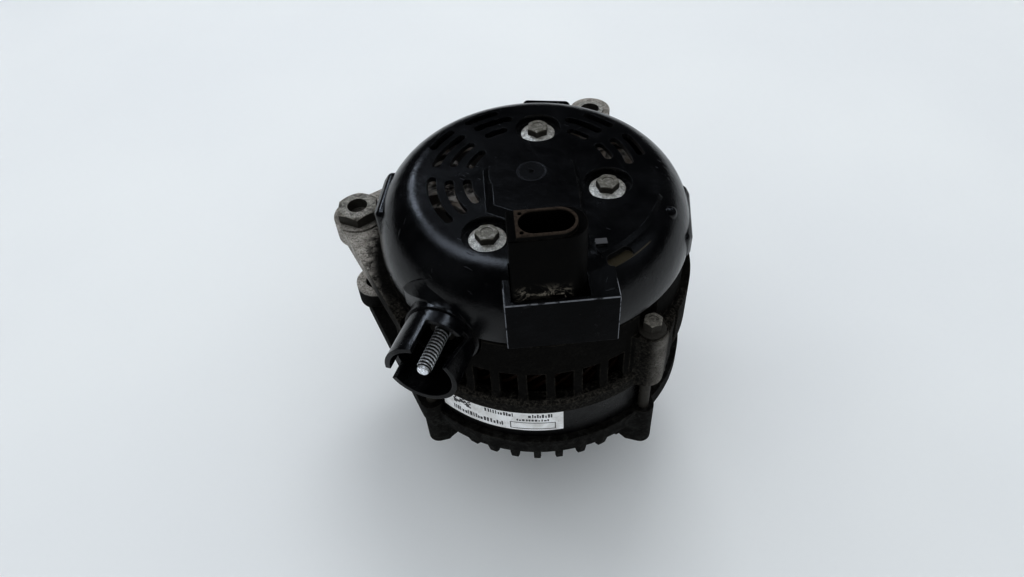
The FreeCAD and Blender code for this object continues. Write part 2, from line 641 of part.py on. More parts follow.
def b_plus_shroud():
    """The insulating sleeve: a plain tube in the collar, and fingers that stand out round the stud."""
    start, root, mouth = NECK_END + 0.1, -13.0, SHROUD_MOUTH
    beyond = mouth + 1.0
    bore = SHROUD_R - SHROUD_WALL
    sleeve = tube(SLEEVE_R - 1.8, SLEEVE_R, (-26.2, start + 1.4))
    floor = tube(STUD_ROOT_R + 0.2, SLEEVE_R, (-26.2, -25.2))
    shoulder = tube(SLEEVE_R - 1.8, SHROUD_R, (start, start + 1.4))
    fingers = tube(bore, SHROUD_R, (start, mouth))
    body = fused([sleeve, floor, shoulder, fingers])
    slot = sector(5.0, SHROUD_R + 1, (38.0, 98.0), (root, beyond))
    taper = [Vector(5.0, 0, root - 2.5), Vector(5.0, 3.4, root - 2.5), Vector(5.0, 3.4, mouth)]
    wedge = spun(Part.Face(Part.makePolygon(taper + taper[:1])).extrude(Vector(SHROUD_R, 0, 0)), 25.0)
    notch = sector(5.0, SHROUD_R + 1, (184.0, 208.0), (-5.0, beyond))
    return along_stud(spun(cut(body, [slot, wedge, notch]), 90.0))


# ---------------------------------------------------------------- regulator, plug tower and brushes
HOLDER_Y = (-27.0, -10.5)
HOLDER_X = (-6.0, 6.0)
HOLDER_Z = (121.5, 142.5)
BASE_EDGE = 19.0
BRUSH_Y = (-19.5, -7.0)


def ring_mid(k):
    return sum(RING_Z[k]) / 2


def regulator_housing():
    base = box((-13.0, BASE_EDGE), (-56.5, HOLDER_Y[0]), (119.0, 149.0))
    tab = hull([(xy(COVER_BOLTS[2])[0], xy(COVER_BOLTS[2])[1], 8.0), (-9.0, -36.0, 6.0)], (143.0, 148.0))
    foot = 143.0
    mid = (TOWER_Y[0] + TOWER_Y[1]) / 2
    half = (TOWER_Y[1] - TOWER_Y[0]) / 2
    straight = box((TOWER_X[0], TOWER_X[1] - half), TOWER_Y, (foot, TOWER_TOP))
    end = cyl(half, (foot, TOWER_TOP), (TOWER_X[1] - half, mid))
    column = rounded(fused([straight, end]), 0.8, lambda e: upright(e) and e.BoundBox.XMax < TOWER_X[0] + 0.1)
    column = rounded(column, 0.5, lambda e: e.BoundBox.ZMin > TOWER_TOP - 0.1)
    lip = 1.0
    s_mid = (SOCKET_Y[0] + SOCKET_Y[1]) / 2
    s_half = (SOCKET_Y[1] - SOCKET_Y[0]) / 2
    rim_square = box((SOCKET_X[0] - lip, 0.0), (SOCKET_Y[0] - lip, SOCKET_Y[1] + lip), (TOWER_TOP, RIM_TOP))
    s_left, s_right = SOCKET_X[0] + s_half, SOCKET_X[1] - s_half
    rim_far = hull([(s_left, s_mid, s_half + lip), (s_right, s_mid, s_half + lip + 0.001)],
                   (TOWER_TOP, RIM_TOP))
    body = fused([base, tab, column, rim_square, rim_far])
    socket = hull([(s_left, s_mid, s_half), (s_right, s_mid, s_half + 0.001)], (SOCKET_FLOOR, RIM_TOP + 1.0))
    pocket_x, pocket_r = SOCKET_X[0] + 0.9, 0.75
    pockets = [cyl(pocket_r, (RIM_TOP - 3.0, RIM_TOP + 1.0), (pocket_x, s_mid + side * (s_half - 0.8)))
               for side in (-1, 1)]
    latch = box((-6.0, 6.0), (TOWER_Y[0] - 1.0, TOWER_Y[0] + 1.0), (150.0, 156.0))
    post = cyl(5.4, (110.0, 160.0), xy(COVER_BOLTS[2]))
    pins = [cyl(0.9, (140.0, 175.0), (x, s_mid)) for x in pin_places()]
    stud_room = stud_cyl(NECK_BORE + 1.0, (-44.0, 5.0))
    return cut(body, [socket, latch, post, stud_room] + pockets + pins)


def pin_places():
    middle = (SOCKET_X[0] + SOCKET_X[1]) / 2
    return [middle - 4.6, middle, middle + 4.6]


def connector_pins():
    s_mid = (SOCKET_Y[0] + SOCKET_Y[1]) / 2
    pins = []
    for x in pin_places():
        blade = box((x - 0.6, x + 0.6), (s_mid - 0.6, s_mid + 0.6), (150.0, 177.0))
        pins.append(blade)
    return Part.makeCompound(pins)


def regulator_fins():
    """The small finned heat sink on the regulator."""
    thick, reach, pitch, z = 1.9, 7.9, 4.2, (121.0, 146.0)
    start = BASE_EDGE + 0.1
    plate = box((start, start + thick), (-54.0, -32.0), z)
    fins = [box((start, start + reach), (-53.0 + pitch * k, -51.6 + pitch * k), z) for k in range(5)]
    return fused([plate] + fins)


def brush_holder():
    body = box(HOLDER_X, HOLDER_Y, HOLDER_Z)
    clear = 0.1
    tools = []
    for k in range(2):
        z = ring_mid(k)
        tools.append(box((-BRUSH[0] / 2 - clear, BRUSH[0] / 2 + clear), (HOLDER_Y[0] + 1.5, 0.0),
                         (z - BRUSH[1] / 2 - clear, z + BRUSH[1] / 2 + clear)))
    mouth = cyl(RING_R + 1.6, (100.0, 160.0))
    hood = tube(RING_R + 1.8, RING_R + 3.4, (HOLDER_Z[0], HOLDER_Z[1]))
    end_ring = tube(RING_R + 0.9, RING_R + 3.4, (HOLDER_Z[1] - 1.2, HOLDER_Z[1]))
    shaped = fused([body.cut(mouth), hood, end_ring])
    return cut(shaped, tools)


def brush(k):
    z = ring_mid(k)
    block = box((-BRUSH[0] / 2, BRUSH[0] / 2), BRUSH_Y, (z - BRUSH[1] / 2, z + BRUSH[1] / 2))
    slack = 0.04
    return block.cut(cyl(RING_R + slack, (100.0, 160.0)))


def brush_spring(k):
    """The coil spring between a brush and the back of its channel."""
    z = ring_mid(k)
    back, front = HOLDER_Y[0] + 1.6, BRUSH_Y[0] - 0.1
    coil_r, wire_r = 1.5, 0.25
    turns = 5.0
    length = front - back - 2 * wire_r
    helix = Part.makeHelix(length / turns, length, coil_r)
    section = [polar(wire_r, 60 * side) for side in range(7)]
    profile = Part.makePolygon([Vector(coil_r + p.x, 0, p.y) for p in section])
    spring = Part.Wire(helix).makePipeShell([profile], True, True)
    spring.rotate(Vector(0, 0, 0), Vector(1, 0, 0), -90)
    spring.translate(Vector(0, back + wire_r, z))
    return spring


# ---------------------------------------------------------------- bearings
def ball_places(b):
    mid = sum(b["z"]) / 2
    return [polar(b["pitch"], k * 360.0 / b["count"], mid) for k in range(b["count"])]


def groove(b):
    mid = sum(b["z"]) / 2
    return Part.makeTorus(b["pitch"], b["ball"] + RUN, Vector(0, 0, mid), Z)


def outer_ring(b):
    return tube(b["land"][1], b["outer"], b["z"]).cut(groove(b))


def inner_ring(b):
    return tube(b["bore"], b["land"][0], b["z"]).cut(groove(b))


def balls(b):
    return Part.makeCompound([Part.makeSphere(b["ball"], p) for p in ball_places(b)])


def ball_cage(b):
    mid = sum(b["z"]) / 2
    half = b["ball"] + 0.8
    ring = tube(b["pitch"] - 1.0, b["pitch"] + 1.0, (mid - half, mid + half))
    pocket = Part.makeCylinder(b["ball"] + RUN, 6.0, Vector(b["pitch"] - 3.0, 0, mid), Vector(1, 0, 0))
    return cut(ring, round_copies(pocket, b["count"]))


def bearing_seals(b):
    gap, thick = 0.15, 0.9
    low, high = b["z"]
    levels = ((low, low + thick), (high - thick, high))
    return Part.makeCompound([tube(b["land"][0] + gap, b["land"][1] - 0.02, z) for z in levels])


def bearing_retainer():
    plate = tube(FRONT_BEARING["land"][0] + 3.0, 31.0, (44.6, 46.4))
    return cut(plate, [cyl(2.2, (40.0, 50.0), xy((27.0, 45.0 + 90 * k))) for k in range(4)])


def retainer_screws():
    screws = []
    for k in range(4):
        at = xy((27.0, 45.0 + 90 * k))
        head = cyl(3.6, (46.4, 48.4), at)
        shank = cyl(1.96, (38.0, 46.4), at)
        screws.append(head.fuse(shank).removeSplitter())
    return Part.makeCompound(screws)


def wave_washer():
    return tube(REAR_BEARING["land"][1] + 0.3, REAR_BEARING["outer"] - 0.3, (104.9, 105.4))


# ---------------------------------------------------------------- rotor
def shaft():
    front_r, rear_r, ring_r = FRONT_BEARING["bore"], REAR_BEARING["bore"], 5.5
    low, high = SHAFT_Z
    end_chamfer = 0.8
    front_step = FRONT_BEARING["z"][1] + 0.5
    rear_step = REAR_BEARING["z"][0]
    return turned([
        (0, low), (7.0 - end_chamfer, low), (7.0, low + end_chamfer), (7.0, 15.0), (front_r, 15.0),
        (front_r, front_step), (11.0, front_step), (11.0, 50.0), (12.0, 50.0),
        (12.0, POLE_Z[1] + 5.0), (10.0, POLE_Z[1] + 5.0), (10.0, rear_step), (rear_r, rear_step),
        (rear_r, 117.5), (ring_r, 118.5), (ring_r, high - 0.6), (ring_r - 0.6, high), (0, high)])


def claw(half_root, half_tip, root_z, tip_z):
    """One tapering finger, standing on the outer edge of the pole plate."""
    beyond = 3.0
    root_r, tip_r = 39.5, 46.8
    sections = []
    for half, r, z in ((half_root, root_r, root_z), (half_tip, tip_r, tip_z)):
        corners = [polar(r, -half, z), polar(ROTOR_R + beyond, -half, z),
                   polar(ROTOR_R + beyond, half, z), polar(r, half, z)]
        sections.append(Part.makePolygon(corners + corners[:1]))
    return Part.makeLoft(sections, True, True)


def claw_pole(flip):
    """Half of the rotor's iron. It is built for the pulley end, and flipped for the other."""
    low, high = POLE_Z
    mid = (low + high) / 2
    plate = cyl(ROTOR_R, (low, low + POLE_PLATE))
    notch_half = 10.5
    notch = [polar(23.0, 0, low - 1), polar(61.0, -notch_half, low - 1), polar(61.0, notch_half, low - 1)]
    wedge = Part.Face(Part.makePolygon(notch + notch[:1])).extrude(Vector(0, 0, POLE_PLATE + 2))
    step = 360.0 / CLAWS
    plate = cut(plate, round_copies(wedge, CLAWS, step / 2))
    core = cyl(POLE_CORE_R, (low, mid - 0.01))
    claws = round_copies(claw(13.0, 5.5, low + 0.01, high - 1.5), CLAWS)
    body = fused([plate, core] + claws).common(cyl(ROTOR_R, (low, high)))
    chamfer = Part.makeCone(ROTOR_R - 2.0, ROTOR_R + 8.0, 10.0, Vector(0, 0, low))
    body = body.common(chamfer.fuse(cyl(ROTOR_R + 1, (low + 9.9, high + 1))))
    body = body.cut(cyl(12.0, (low - 1, high + 1)))
    if flip:
        body.rotate(Vector(0, 0, mid), Vector(1, 0, 0), 180)
        body.rotate(Vector(0, 0, 0), Z, step / 2)
    return body


def coil_bobbin():
    low, high = POLE_Z[0] + POLE_PLATE + 0.1, POLE_Z[1] - POLE_PLATE - 0.1
    outer = COIL_R[1] + 0.4
    wall = BOBBIN_WALL
    return turned([(POLE_CORE_R + 0.1, low), (outer, low), (outer, low + wall), (COIL_R[0], low + wall),
                   (COIL_R[0], high - wall), (outer, high - wall), (outer, high), (POLE_CORE_R + 0.1, high)])


def field_coil():
    low = POLE_Z[0] + POLE_PLATE + 0.1 + BOBBIN_WALL
    high = POLE_Z[1] - POLE_PLATE - 0.1 - BOBBIN_WALL
    turns = 7
    pitch = (high - low) / turns
    bulge = 0.35
    outline = [(COIL_R[0] + 0.01, low + 0.01), (COIL_R[1] - bulge, low + 0.01)]
    for k in range(turns):
        outline.append((COIL_R[1], low + pitch * (k + 0.5)))
        outline.append((COIL_R[1] - bulge, min(low + pitch * (k + 1), high - 0.01)))
    outline.append((COIL_R[0] + 0.01, high - 0.01))
    return turned(outline)


def fan(face_z, out, blades, blade_height, sweep):
    """A pressed fan. out is the direction in which its blades stand, +1 or -1."""
    thick, hub_r, disc_r, tip_r = 1.4, 12.05, 40.0, 46.0
    low, high = sorted((face_z, face_z + out * thick))
    disc = tube(hub_r, disc_r, (low, high))
    blade_low, blade_high = sorted((face_z, face_z + out * blade_height))
    blade = box((31.0, tip_r), (-0.7, 0.7), (blade_low, blade_high))
    blade.rotate(Vector(38.0, 0, 0), Z, sweep)
    foot = box((30.0, tip_r), (-5.0, 0.0), (low, high))
    foot.rotate(Vector(38.0, 0, 0), Z, sweep)
    trim = tube(hub_r, tip_r, (min(low, blade_low), max(high, blade_high)))
    return fused([disc] + round_copies(fused([blade, foot]).common(trim), blades))


def slip_ring_core():
    body = tube(5.52, 7.0, (119.0, 144.0))
    barriers = [tube(5.52, 8.4, z) for z in ((120.0, 123.5), (130.6, 133.4), (140.6, 142.2))]
    return fused([body] + barriers)


def slip_ring(k):
    return tube(7.01, RING_R, RING_Z[k])


def pulley():
    low, high = PULLEY_Z
    hub_r, bore = 14.0, FRONT_BEARING["bore"] + 0.02
    first = high - 3.2
    outline = [(PULLEY_R - 1.0, low), (PULLEY_R + 0.8, low + 0.6), (PULLEY_R + 0.8, low + 1.6)]
    span = RIBS * RIB_STEP
    start = (low + high - span) / 2 - 0.2
    for k in range(RIBS):
        z = start + RIB_STEP * k
        outline += [(PULLEY_R, z + 0.25), (PULLEY_R - RIB_DEPTH, z + RIB_STEP / 2 - 0.25),
                    (PULLEY_R - RIB_DEPTH, z + RIB_STEP / 2 + 0.25), (PULLEY_R, z + RIB_STEP - 0.25)]
    outline += [(PULLEY_R + 0.8, start + span + 0.8), (PULLEY_R + 0.8, high - 0.6), (PULLEY_R, high),
                (21.5, high), (21.5, first), (hub_r, first - 1.5), (hub_r, high + 1.5), (bore, high + 1.5),
                (bore, 15.0), (21.0, 15.0), (22.5, low)]
    return turned(outline)


def pulley_nut():
    nut = hexagon(22.0, (4.5, 13.0), turn=0.0)
    washer_face = cyl(12.0, (13.0, 15.0))
    return nut.fuse(washer_face).removeSplitter().cut(cyl(7.02, (0.0, 20.0)))


def front_spacer():
    return tube(FRONT_BEARING["bore"] + 0.02, 12.0, (PULLEY_Z[1] + 1.5, FRONT_BEARING["z"][0]))


# ---------------------------------------------------------------- all the pieces
NODES = {
    "stator_core": stator_core,
    "stator_winding": stator_winding,
    "rear_bracket": rear_bracket,
    "front_bracket": front_bracket,
    "through_bolts": through_bolts,
    "cover_bolts": cover_bolts,
    "ear_nut": ear_nut,
    "ear_sleeve": ear_sleeve,
    "name_label": name_label,
    "rear_cover": rear_cover,
    "negative_heat_sink": negative_heat_sink,
    "positive_heat_sink": positive_heat_sink,
    "negative_diodes": lambda: diodes(DIODES_NEG, 49.0, (117.6, 123.5), 1),
    "positive_diodes": lambda: diodes(DIODES_POS, 40.0, (137.0, 144.0), -1),
    "terminal_frame": terminal_frame,
    "b_plus_stud": b_plus_stud,
    "b_plus_base_nut": b_plus_base_nut,
    "b_plus_shroud": b_plus_shroud,
    "regulator_housing": regulator_housing,
    "regulator_fins": regulator_fins,
    "connector_pins": connector_pins,
    "brush_holder": brush_holder,
    "brush_inner": lambda: brush(0),
    "brush_outer": lambda: brush(1),
    "brush_spring_inner": lambda: brush_spring(0),
    "brush_spring_outer": lambda: brush_spring(1),
    "front_bearing_outer_ring": lambda: outer_ring(FRONT_BEARING),
    "front_bearing_inner_ring": lambda: inner_ring(FRONT_BEARING),
    "front_bearing_balls": lambda: balls(FRONT_BEARING),
    "front_bearing_cage": lambda: ball_cage(FRONT_BEARING),
    "front_bearing_seals": lambda: bearing_seals(FRONT_BEARING),
    "rear_bearing_outer_ring": lambda: outer_ring(REAR_BEARING),
    "rear_bearing_inner_ring": lambda: inner_ring(REAR_BEARING),
    "rear_bearing_balls": lambda: balls(REAR_BEARING),
    "rear_bearing_cage": lambda: ball_cage(REAR_BEARING),
    "rear_bearing_seals": lambda: bearing_seals(REAR_BEARING),
    "bearing_retainer": bearing_retainer,
    "retainer_screws": retainer_screws,
    "wave_washer": wave_washer,
    "rotor_shaft": shaft,
    "front_claw_pole": lambda: claw_pole(False),
    "rear_claw_pole": lambda: claw_pole(True),
    "coil_bobbin": coil_bobbin,
    "field_coil": field_coil,
    "front_fan": lambda: fan(POLE_Z[0] - 0.05, -1, 11, 7.0, 35.0),
    "rear_fan": lambda: fan(POLE_Z[1] + 0.05, 1, 13, 8.0, 35.0),
    "slip_ring_core": slip_ring_core,
    "slip_ring_inner": lambda: slip_ring(0),
    "slip_ring_outer": lambda: slip_ring(1),
    "pulley": pulley,
    "pulley_nut": pulley_nut,
    "front_spacer": front_spacer,
}


def main():
    os.makedirs("parts", exist_ok=True)
    for name, make in NODES.items():
        shape = make()
        shape.exportStep(os.path.join("parts", name + ".step"))


main()
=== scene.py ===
import json
import math
import random

import bpy
from mathutils import Matrix, Vector


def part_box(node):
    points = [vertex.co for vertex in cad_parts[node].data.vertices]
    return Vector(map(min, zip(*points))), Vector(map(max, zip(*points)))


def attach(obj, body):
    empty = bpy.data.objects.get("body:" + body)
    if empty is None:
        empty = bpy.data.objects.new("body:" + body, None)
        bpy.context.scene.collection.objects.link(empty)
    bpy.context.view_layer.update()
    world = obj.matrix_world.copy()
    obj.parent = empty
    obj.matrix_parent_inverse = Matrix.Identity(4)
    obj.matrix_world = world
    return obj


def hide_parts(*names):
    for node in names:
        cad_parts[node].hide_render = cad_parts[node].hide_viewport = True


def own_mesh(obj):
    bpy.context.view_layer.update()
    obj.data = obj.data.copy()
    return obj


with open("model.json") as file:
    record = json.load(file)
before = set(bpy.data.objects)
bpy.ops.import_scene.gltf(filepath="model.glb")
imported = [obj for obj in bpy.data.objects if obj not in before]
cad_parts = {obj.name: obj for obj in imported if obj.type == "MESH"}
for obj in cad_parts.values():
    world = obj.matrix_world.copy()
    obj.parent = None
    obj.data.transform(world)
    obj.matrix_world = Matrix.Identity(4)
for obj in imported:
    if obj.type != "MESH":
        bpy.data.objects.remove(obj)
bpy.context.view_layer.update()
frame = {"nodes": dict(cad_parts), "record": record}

MM = 0.001
NODES = frame["nodes"]

# places on the rear cover, in millimetres
LEDGE_MIDDLE, LEDGE_HALF, LEDGE_FRONT, LEDGE_TOP = 4.95, 20.65, -65.7, 154.5
SLOT_FLOOR, SLOT_R = 153.6, 54.6
TAB_TOP, TAB_PLACE = 158.8, (("X", 21.8), ("Y", -41.6))

# the output stud, in millimetres; distances run outwards along it and are 0 at its tip
THREAD_PITCH = 1.5
STUD_TIP_CONE = 1.4
STUD_SEAT = -20.0

# lines of print on the label, as (start, end, low, high) in millimetres along and up it
LABEL_LINES = ((24.0, 51.5, 84.2, 87.0), (22.0, 34.5, 80.0, 82.4), (41.0, 51.5, 80.0, 82.4),
               (36.0, 50.0, 77.4, 78.7), (6.0, 30.5, 72.4, 75.2), (1.5, 5.0, 84.0, 86.0),
               (1.5, 4.2, 80.6, 82.4), (18.0, 22.5, 84.4, 86.4))

# lamps that show only in reflections, as (direction, radius and blur in degrees, strength)
REFLECTED_LAMPS = (((-0.24, 0.4, 0.88), 8.0, 9.0, 4.0), ((0.03, 0.0, 1.0), 4.0, 6.0, 1.2),
                   ((-0.75, -0.1, 0.6), 4.0, 22.0, 0.12), ((0.8, -0.1, 0.55), 4.0, 14.0, 0.5),
                   ((-0.12, 0.66, 0.74), 3.0, 12.0, 0.28), ((-0.31, 0.75, 0.59), 3.5, 3.0, 11.0),
                   ((0.43, 0.44, 0.79), 3.5, 3.0, 11.0))


# ---------------------------------------------------------------- shader graphs
class Graph:
    """Adds shader nodes to a tree and wires their inputs from values or from other nodes' outputs."""

    def __init__(self, tree):
        self.tree = tree
        tree.nodes.clear()

    def node(self, kind, inputs=(), **settings):
        """A new shader node with its settings made and its inputs set or wired."""
        made = self.tree.nodes.new("ShaderNode" + kind)
        for name, value in settings.items():
            setattr(made, name, value)
        for key, value in dict(inputs).items():
            self.put(made.inputs[key], value)
        return made

    def put(self, socket, value):
        """Wires a socket to another node's output, or sets its value."""
        if isinstance(value, bpy.types.NodeSocket):
            self.tree.links.new(value, socket)
        elif isinstance(value, (tuple, list)) and len(value) == 3 and socket.type == "RGBA":
            socket.default_value = (*value, 1.0)
        else:
            socket.default_value = value

    def math(self, operation, a, b=0.0, clamp=False):
        """One arithmetic step on a and b."""
        return self.node("Math", {0: a, 1: b}, operation=operation, use_clamp=clamp).outputs[0]

    def between(self, value, low, high, out_low=0.0, out_high=1.0):
        """Maps value from low..high to out_low..out_high, smoothly and clamped."""
        inputs = {"Value": value, "From Min": low, "From Max": high, "To Min": out_low, "To Max": out_high}
        return self.node("MapRange", inputs, interpolation_type="SMOOTHSTEP").outputs[0]

    def mix(self, share, a, b):
        """Colour a where share is 0 and colour b where it is 1."""
        made = self.node("Mix", data_type="RGBA")
        self.put(made.inputs[0], share)
        self.put(made.inputs[6], a)
        self.put(made.inputs[7], b)
        return made.outputs[2]

    def place(self, stretch=(1.0, 1.0, 1.0), turn=(0.0, 0.0, 0.0)):
        """The row frame's coordinates in millimetres, stretched and turned."""
        coords = self.node("TexCoord").outputs["Object"]
        scale = [1000.0 * s for s in stretch]
        turned = self.node("Mapping", {"Vector": coords, "Rotation": turn})
        return self.node("Mapping", {"Vector": turned.outputs[0], "Scale": scale}).outputs[0]

    def noise(self, size, detail=4.0, rough=0.55, warp=0.0, at=None):
        """Noise from 0 to 1 whose largest features are about size millimetres."""
        inputs = {"Vector": at or self.place(), "Scale": 1.0 / size, "Detail": detail,
                  "Roughness": rough, "Distortion": warp}
        return self.node("TexNoise", inputs).outputs["Fac"]

    def cells(self, size, output="Distance"):
        """Cells about size millimetres across: the distance from a cell's middle, or its own colour."""
        inputs = {"Vector": self.place(), "Scale": 1.0 / size}
        return self.node("TexVoronoi", inputs, feature="F1").outputs[output]

    def edges(self, radius, low=0.01, high=0.12):
        """1 on convex and concave edges sharper than the radius in millimetres, 0 on flats."""
        soft = self.node("Bevel", {"Radius": radius * MM}, samples=4).outputs[0]
        true = self.node("NewGeometry").outputs["Normal"]
        dot = self.node("VectorMath", {0: soft, 1: true}, operation="DOT_PRODUCT").outputs["Value"]
        return self.between(self.math("SUBTRACT", 1.0, dot), low, high)

    def cavity(self, reach):
        """1 in corners and recesses within reach millimetres, 0 in the open."""
        made = self.node("AmbientOcclusion", {"Distance": reach * MM}, samples=4)
        return self.math("SUBTRACT", 1.0, made.outputs["AO"], clamp=True)

    def axis(self, name, vector=None):
        """One coordinate in millimetres."""
        split = self.node("SeparateXYZ", {0: vector or self.place()})
        return split.outputs[name]

    def reach(self):
        """Distance from the rotor axis in millimetres."""
        x, y = self.axis("X"), self.axis("Y")
        squares = self.math("ADD", self.math("MULTIPLY", x, x), self.math("MULTIPLY", y, y))
        return self.math("SQRT", squares)

    def upward(self):
        """1 on faces that look straight up, 0 on walls, -1 underneath."""
        return self.axis("Z", self.node("NewGeometry").outputs["Normal"])

    def bump(self, height, depth, normal=None):
        """Relief of up to depth millimetres."""
        inputs = {"Height": height, "Distance": depth * MM, "Strength": 1.0}
        if normal is not None:
            inputs["Normal"] = normal
        return self.node("Bump", inputs).outputs[0]

    def rounded(self, radius):
        """A normal that rounds sharp edges by the radius in millimetres."""
        return self.node("Bevel", {"Radius": radius * MM}, samples=4).outputs[0]

    def finish(self, **inputs):
        """Ends the material with one shader; an input's name has _ for each space."""
        values = {name.replace("_", " "): value for name, value in inputs.items()}
        shader = self.node("BsdfPrincipled", values)
        out = self.node("OutputMaterial")
        self.tree.links.new(shader.outputs[0], out.inputs[0])


def material(name, build, **options):
    """A new material whose nodes are made by the function build."""
    made = bpy.data.materials.new(name)
    made.use_nodes = True
    build(Graph(made.node_tree), **options)
    return made


def scratches(g):
    """Thin lines in a few directions, 1 on a line."""
    total = None
    for turn, size in ((0.4, 26.0), (1.3, 34.0), (2.3, 22.0), (2.9, 40.0)):
        along = g.place(stretch=(1.0, 0.03, 0.35), turn=(0.0, 0.3 * turn, turn))
        line = g.noise(size * 0.05, 1.0, 0.4, at=along)
        patch = g.noise(size, 2.0, 0.5)
        thin = g.between(line, 0.73, 0.76)
        here = g.math("MULTIPLY", thin, g.between(patch, 0.45, 0.62))
        total = here if total is None else g.math("MAXIMUM", total, here)
    return total


def ledge_edges(g):
    """1 along the outer edges of the box that the plug tower stands in, where a painted highlight goes."""
    x, y, z = g.axis("X"), g.axis("Y"), g.axis("Z")
    offset = g.math("ABSOLUTE", g.math("SUBTRACT", x, LEDGE_MIDDLE))
    side = g.between(offset, LEDGE_HALF - 0.55, LEDGE_HALF - 0.35)
    front = g.between(y, LEDGE_FRONT + 0.55, LEDGE_FRONT + 0.35)
    top = g.between(z, LEDGE_TOP - 0.55, LEDGE_TOP - 0.35)
    along = g.math("MAXIMUM", g.math("MULTIPLY", top, front), g.math("MULTIPLY", side, front))
    along = g.math("MAXIMUM", along, g.math("MULTIPLY", top, side))
    near = g.between(y, -56.0, -58.0)
    inside = g.between(offset, LEDGE_HALF + 0.5, LEDGE_HALF + 0.2)
    return g.math("MULTIPLY", along, g.math("MULTIPLY", near, inside))


def slot_floor(g):
    """1 on the floor of the oval recess right of the tower."""
    x, y = g.axis("X"), g.axis("Y")
    low = g.between(g.math("ABSOLUTE", g.math("SUBTRACT", g.axis("Z"), SLOT_FLOOR)), 0.3, 0.1)
    ring = g.between(g.math("ABSOLUTE", g.math("SUBTRACT", g.reach(), SLOT_R)), 2.5, 2.2)
    where = g.math("MULTIPLY", g.between(x, 20.0, 22.0), g.between(y, -38.0, -40.0))
    return g.math("MULTIPLY", g.math("MULTIPLY", low, ring), where)


def small_tab(g):
    """1 on top of the small tab beside the tower."""
    high = g.between(g.axis("Z"), TAB_TOP - 0.4, TAB_TOP - 0.2)
    away = [g.math("SUBTRACT", g.axis(name), at) for name, at in TAB_PLACE]
    far = g.math("MAXIMUM", g.math("ABSOLUTE", away[0]), g.math("ABSOLUTE", away[1]))
    return g.math("MULTIPLY", high, g.between(far, 4.0, 3.5))


def gloss_cover(g):
    """Glossy black moulded plastic: hairline scratches, a dry haze, dust in the recesses, and a painted
    highlight along the ledge's edges.
    """
    haze = g.noise(16.0, 6.0, 0.65, 0.5)
    grain = g.noise(0.35, 3.0, 0.6)
    leather = g.noise(0.9, 4.0, 0.65)
    lines = scratches(g)
    dust = g.math("MULTIPLY", g.cavity(4.0), g.noise(2.4, 5.0, 0.7))
    worn = g.math("MULTIPLY", g.edges(0.45), g.between(g.noise(2.5, 4.0), 0.4, 0.68))
    colour = g.mix(g.between(haze, 0.35, 0.7), (0.0018, 0.002, 0.0026), (0.0046, 0.005, 0.0062))
    colour = g.mix(g.math("MULTIPLY", lines, 0.2), colour, (0.05, 0.053, 0.06))
    colour = g.mix(g.between(dust, 0.2, 0.55, 0.0, 0.45), colour, (0.03, 0.027, 0.022))
    colour = g.mix(g.math("MULTIPLY", worn, 0.5), colour, (0.09, 0.092, 0.1))
    gate = g.math("MULTIPLY", g.between(g.reach(), 6.4, 5.8), g.between(g.axis("Z"), 150.0, 151.0))
    rim = g.math("MULTIPLY", gate, g.between(g.reach(), 5.0, 5.3))
    mark = g.math("ADD", g.math("MULTIPLY", gate, 0.15), g.math("MULTIPLY", rim, 0.5))
    colour = g.mix(mark, colour, (0.035, 0.038, 0.045))
    colour = g.mix(g.math("MULTIPLY", slot_floor(g), 0.85), colour, (0.05, 0.042, 0.026))
    colour = g.mix(g.math("MULTIPLY", small_tab(g), 0.5), colour, (0.2, 0.205, 0.22))
    # a painted highlight: pale broken lines along the ledge's outer edges
    ledge_highlight = g.math("MULTIPLY", ledge_edges(g), g.between(g.noise(3.0, 3.0), 0.36, 0.5, 0.15, 1.0))
    colour = g.mix(ledge_highlight, colour, (0.2, 0.21, 0.23))
    speck = g.between(g.cells(1.9), 0.04, 0.13, 1.0, 0.0)
    speck = g.math("MULTIPLY", speck, g.between(g.noise(12.0, 3.0), 0.52, 0.66))
    colour = g.mix(g.math("MULTIPLY", speck, 0.45), colour, (0.09, 0.082, 0.07))
    rough = g.between(haze, 0.3, 0.75, 0.13, 0.28)
    rough = g.math("ADD", rough, g.between(dust, 0.15, 0.5, 0.0, 0.35), clamp=True)
    rough = g.math("ADD", rough, g.math("MULTIPLY", lines, 0.15), clamp=True)
    normal = g.bump(grain, 0.018, g.rounded(0.45))
    normal = g.bump(leather, 0.05, normal)
    normal = g.bump(g.noise(6.0, 3.0), 0.16, normal)
    normal = g.bump(lines, 0.02, normal)
    front = g.math("MULTIPLY", g.between(g.axis("Y"), -62.0, -64.5), g.between(g.upward(), 0.6, 0.3))
    ledge = g.math("MULTIPLY", front, g.between(g.math("ABSOLUTE", g.axis("X")), 33.0, 31.0))
    mouth = g.math("MULTIPLY", g.between(g.axis("Y"), -67.0, -69.0), 0.7)
    shaded = g.math("MAXIMUM", ledge, mouth)
    g.finish(Base_Color=colour, Roughness=rough, Normal=normal,
             Specular_IOR_Level=g.math("SUBTRACT", 0.5, g.math("MULTIPLY", shaded, 0.44)))


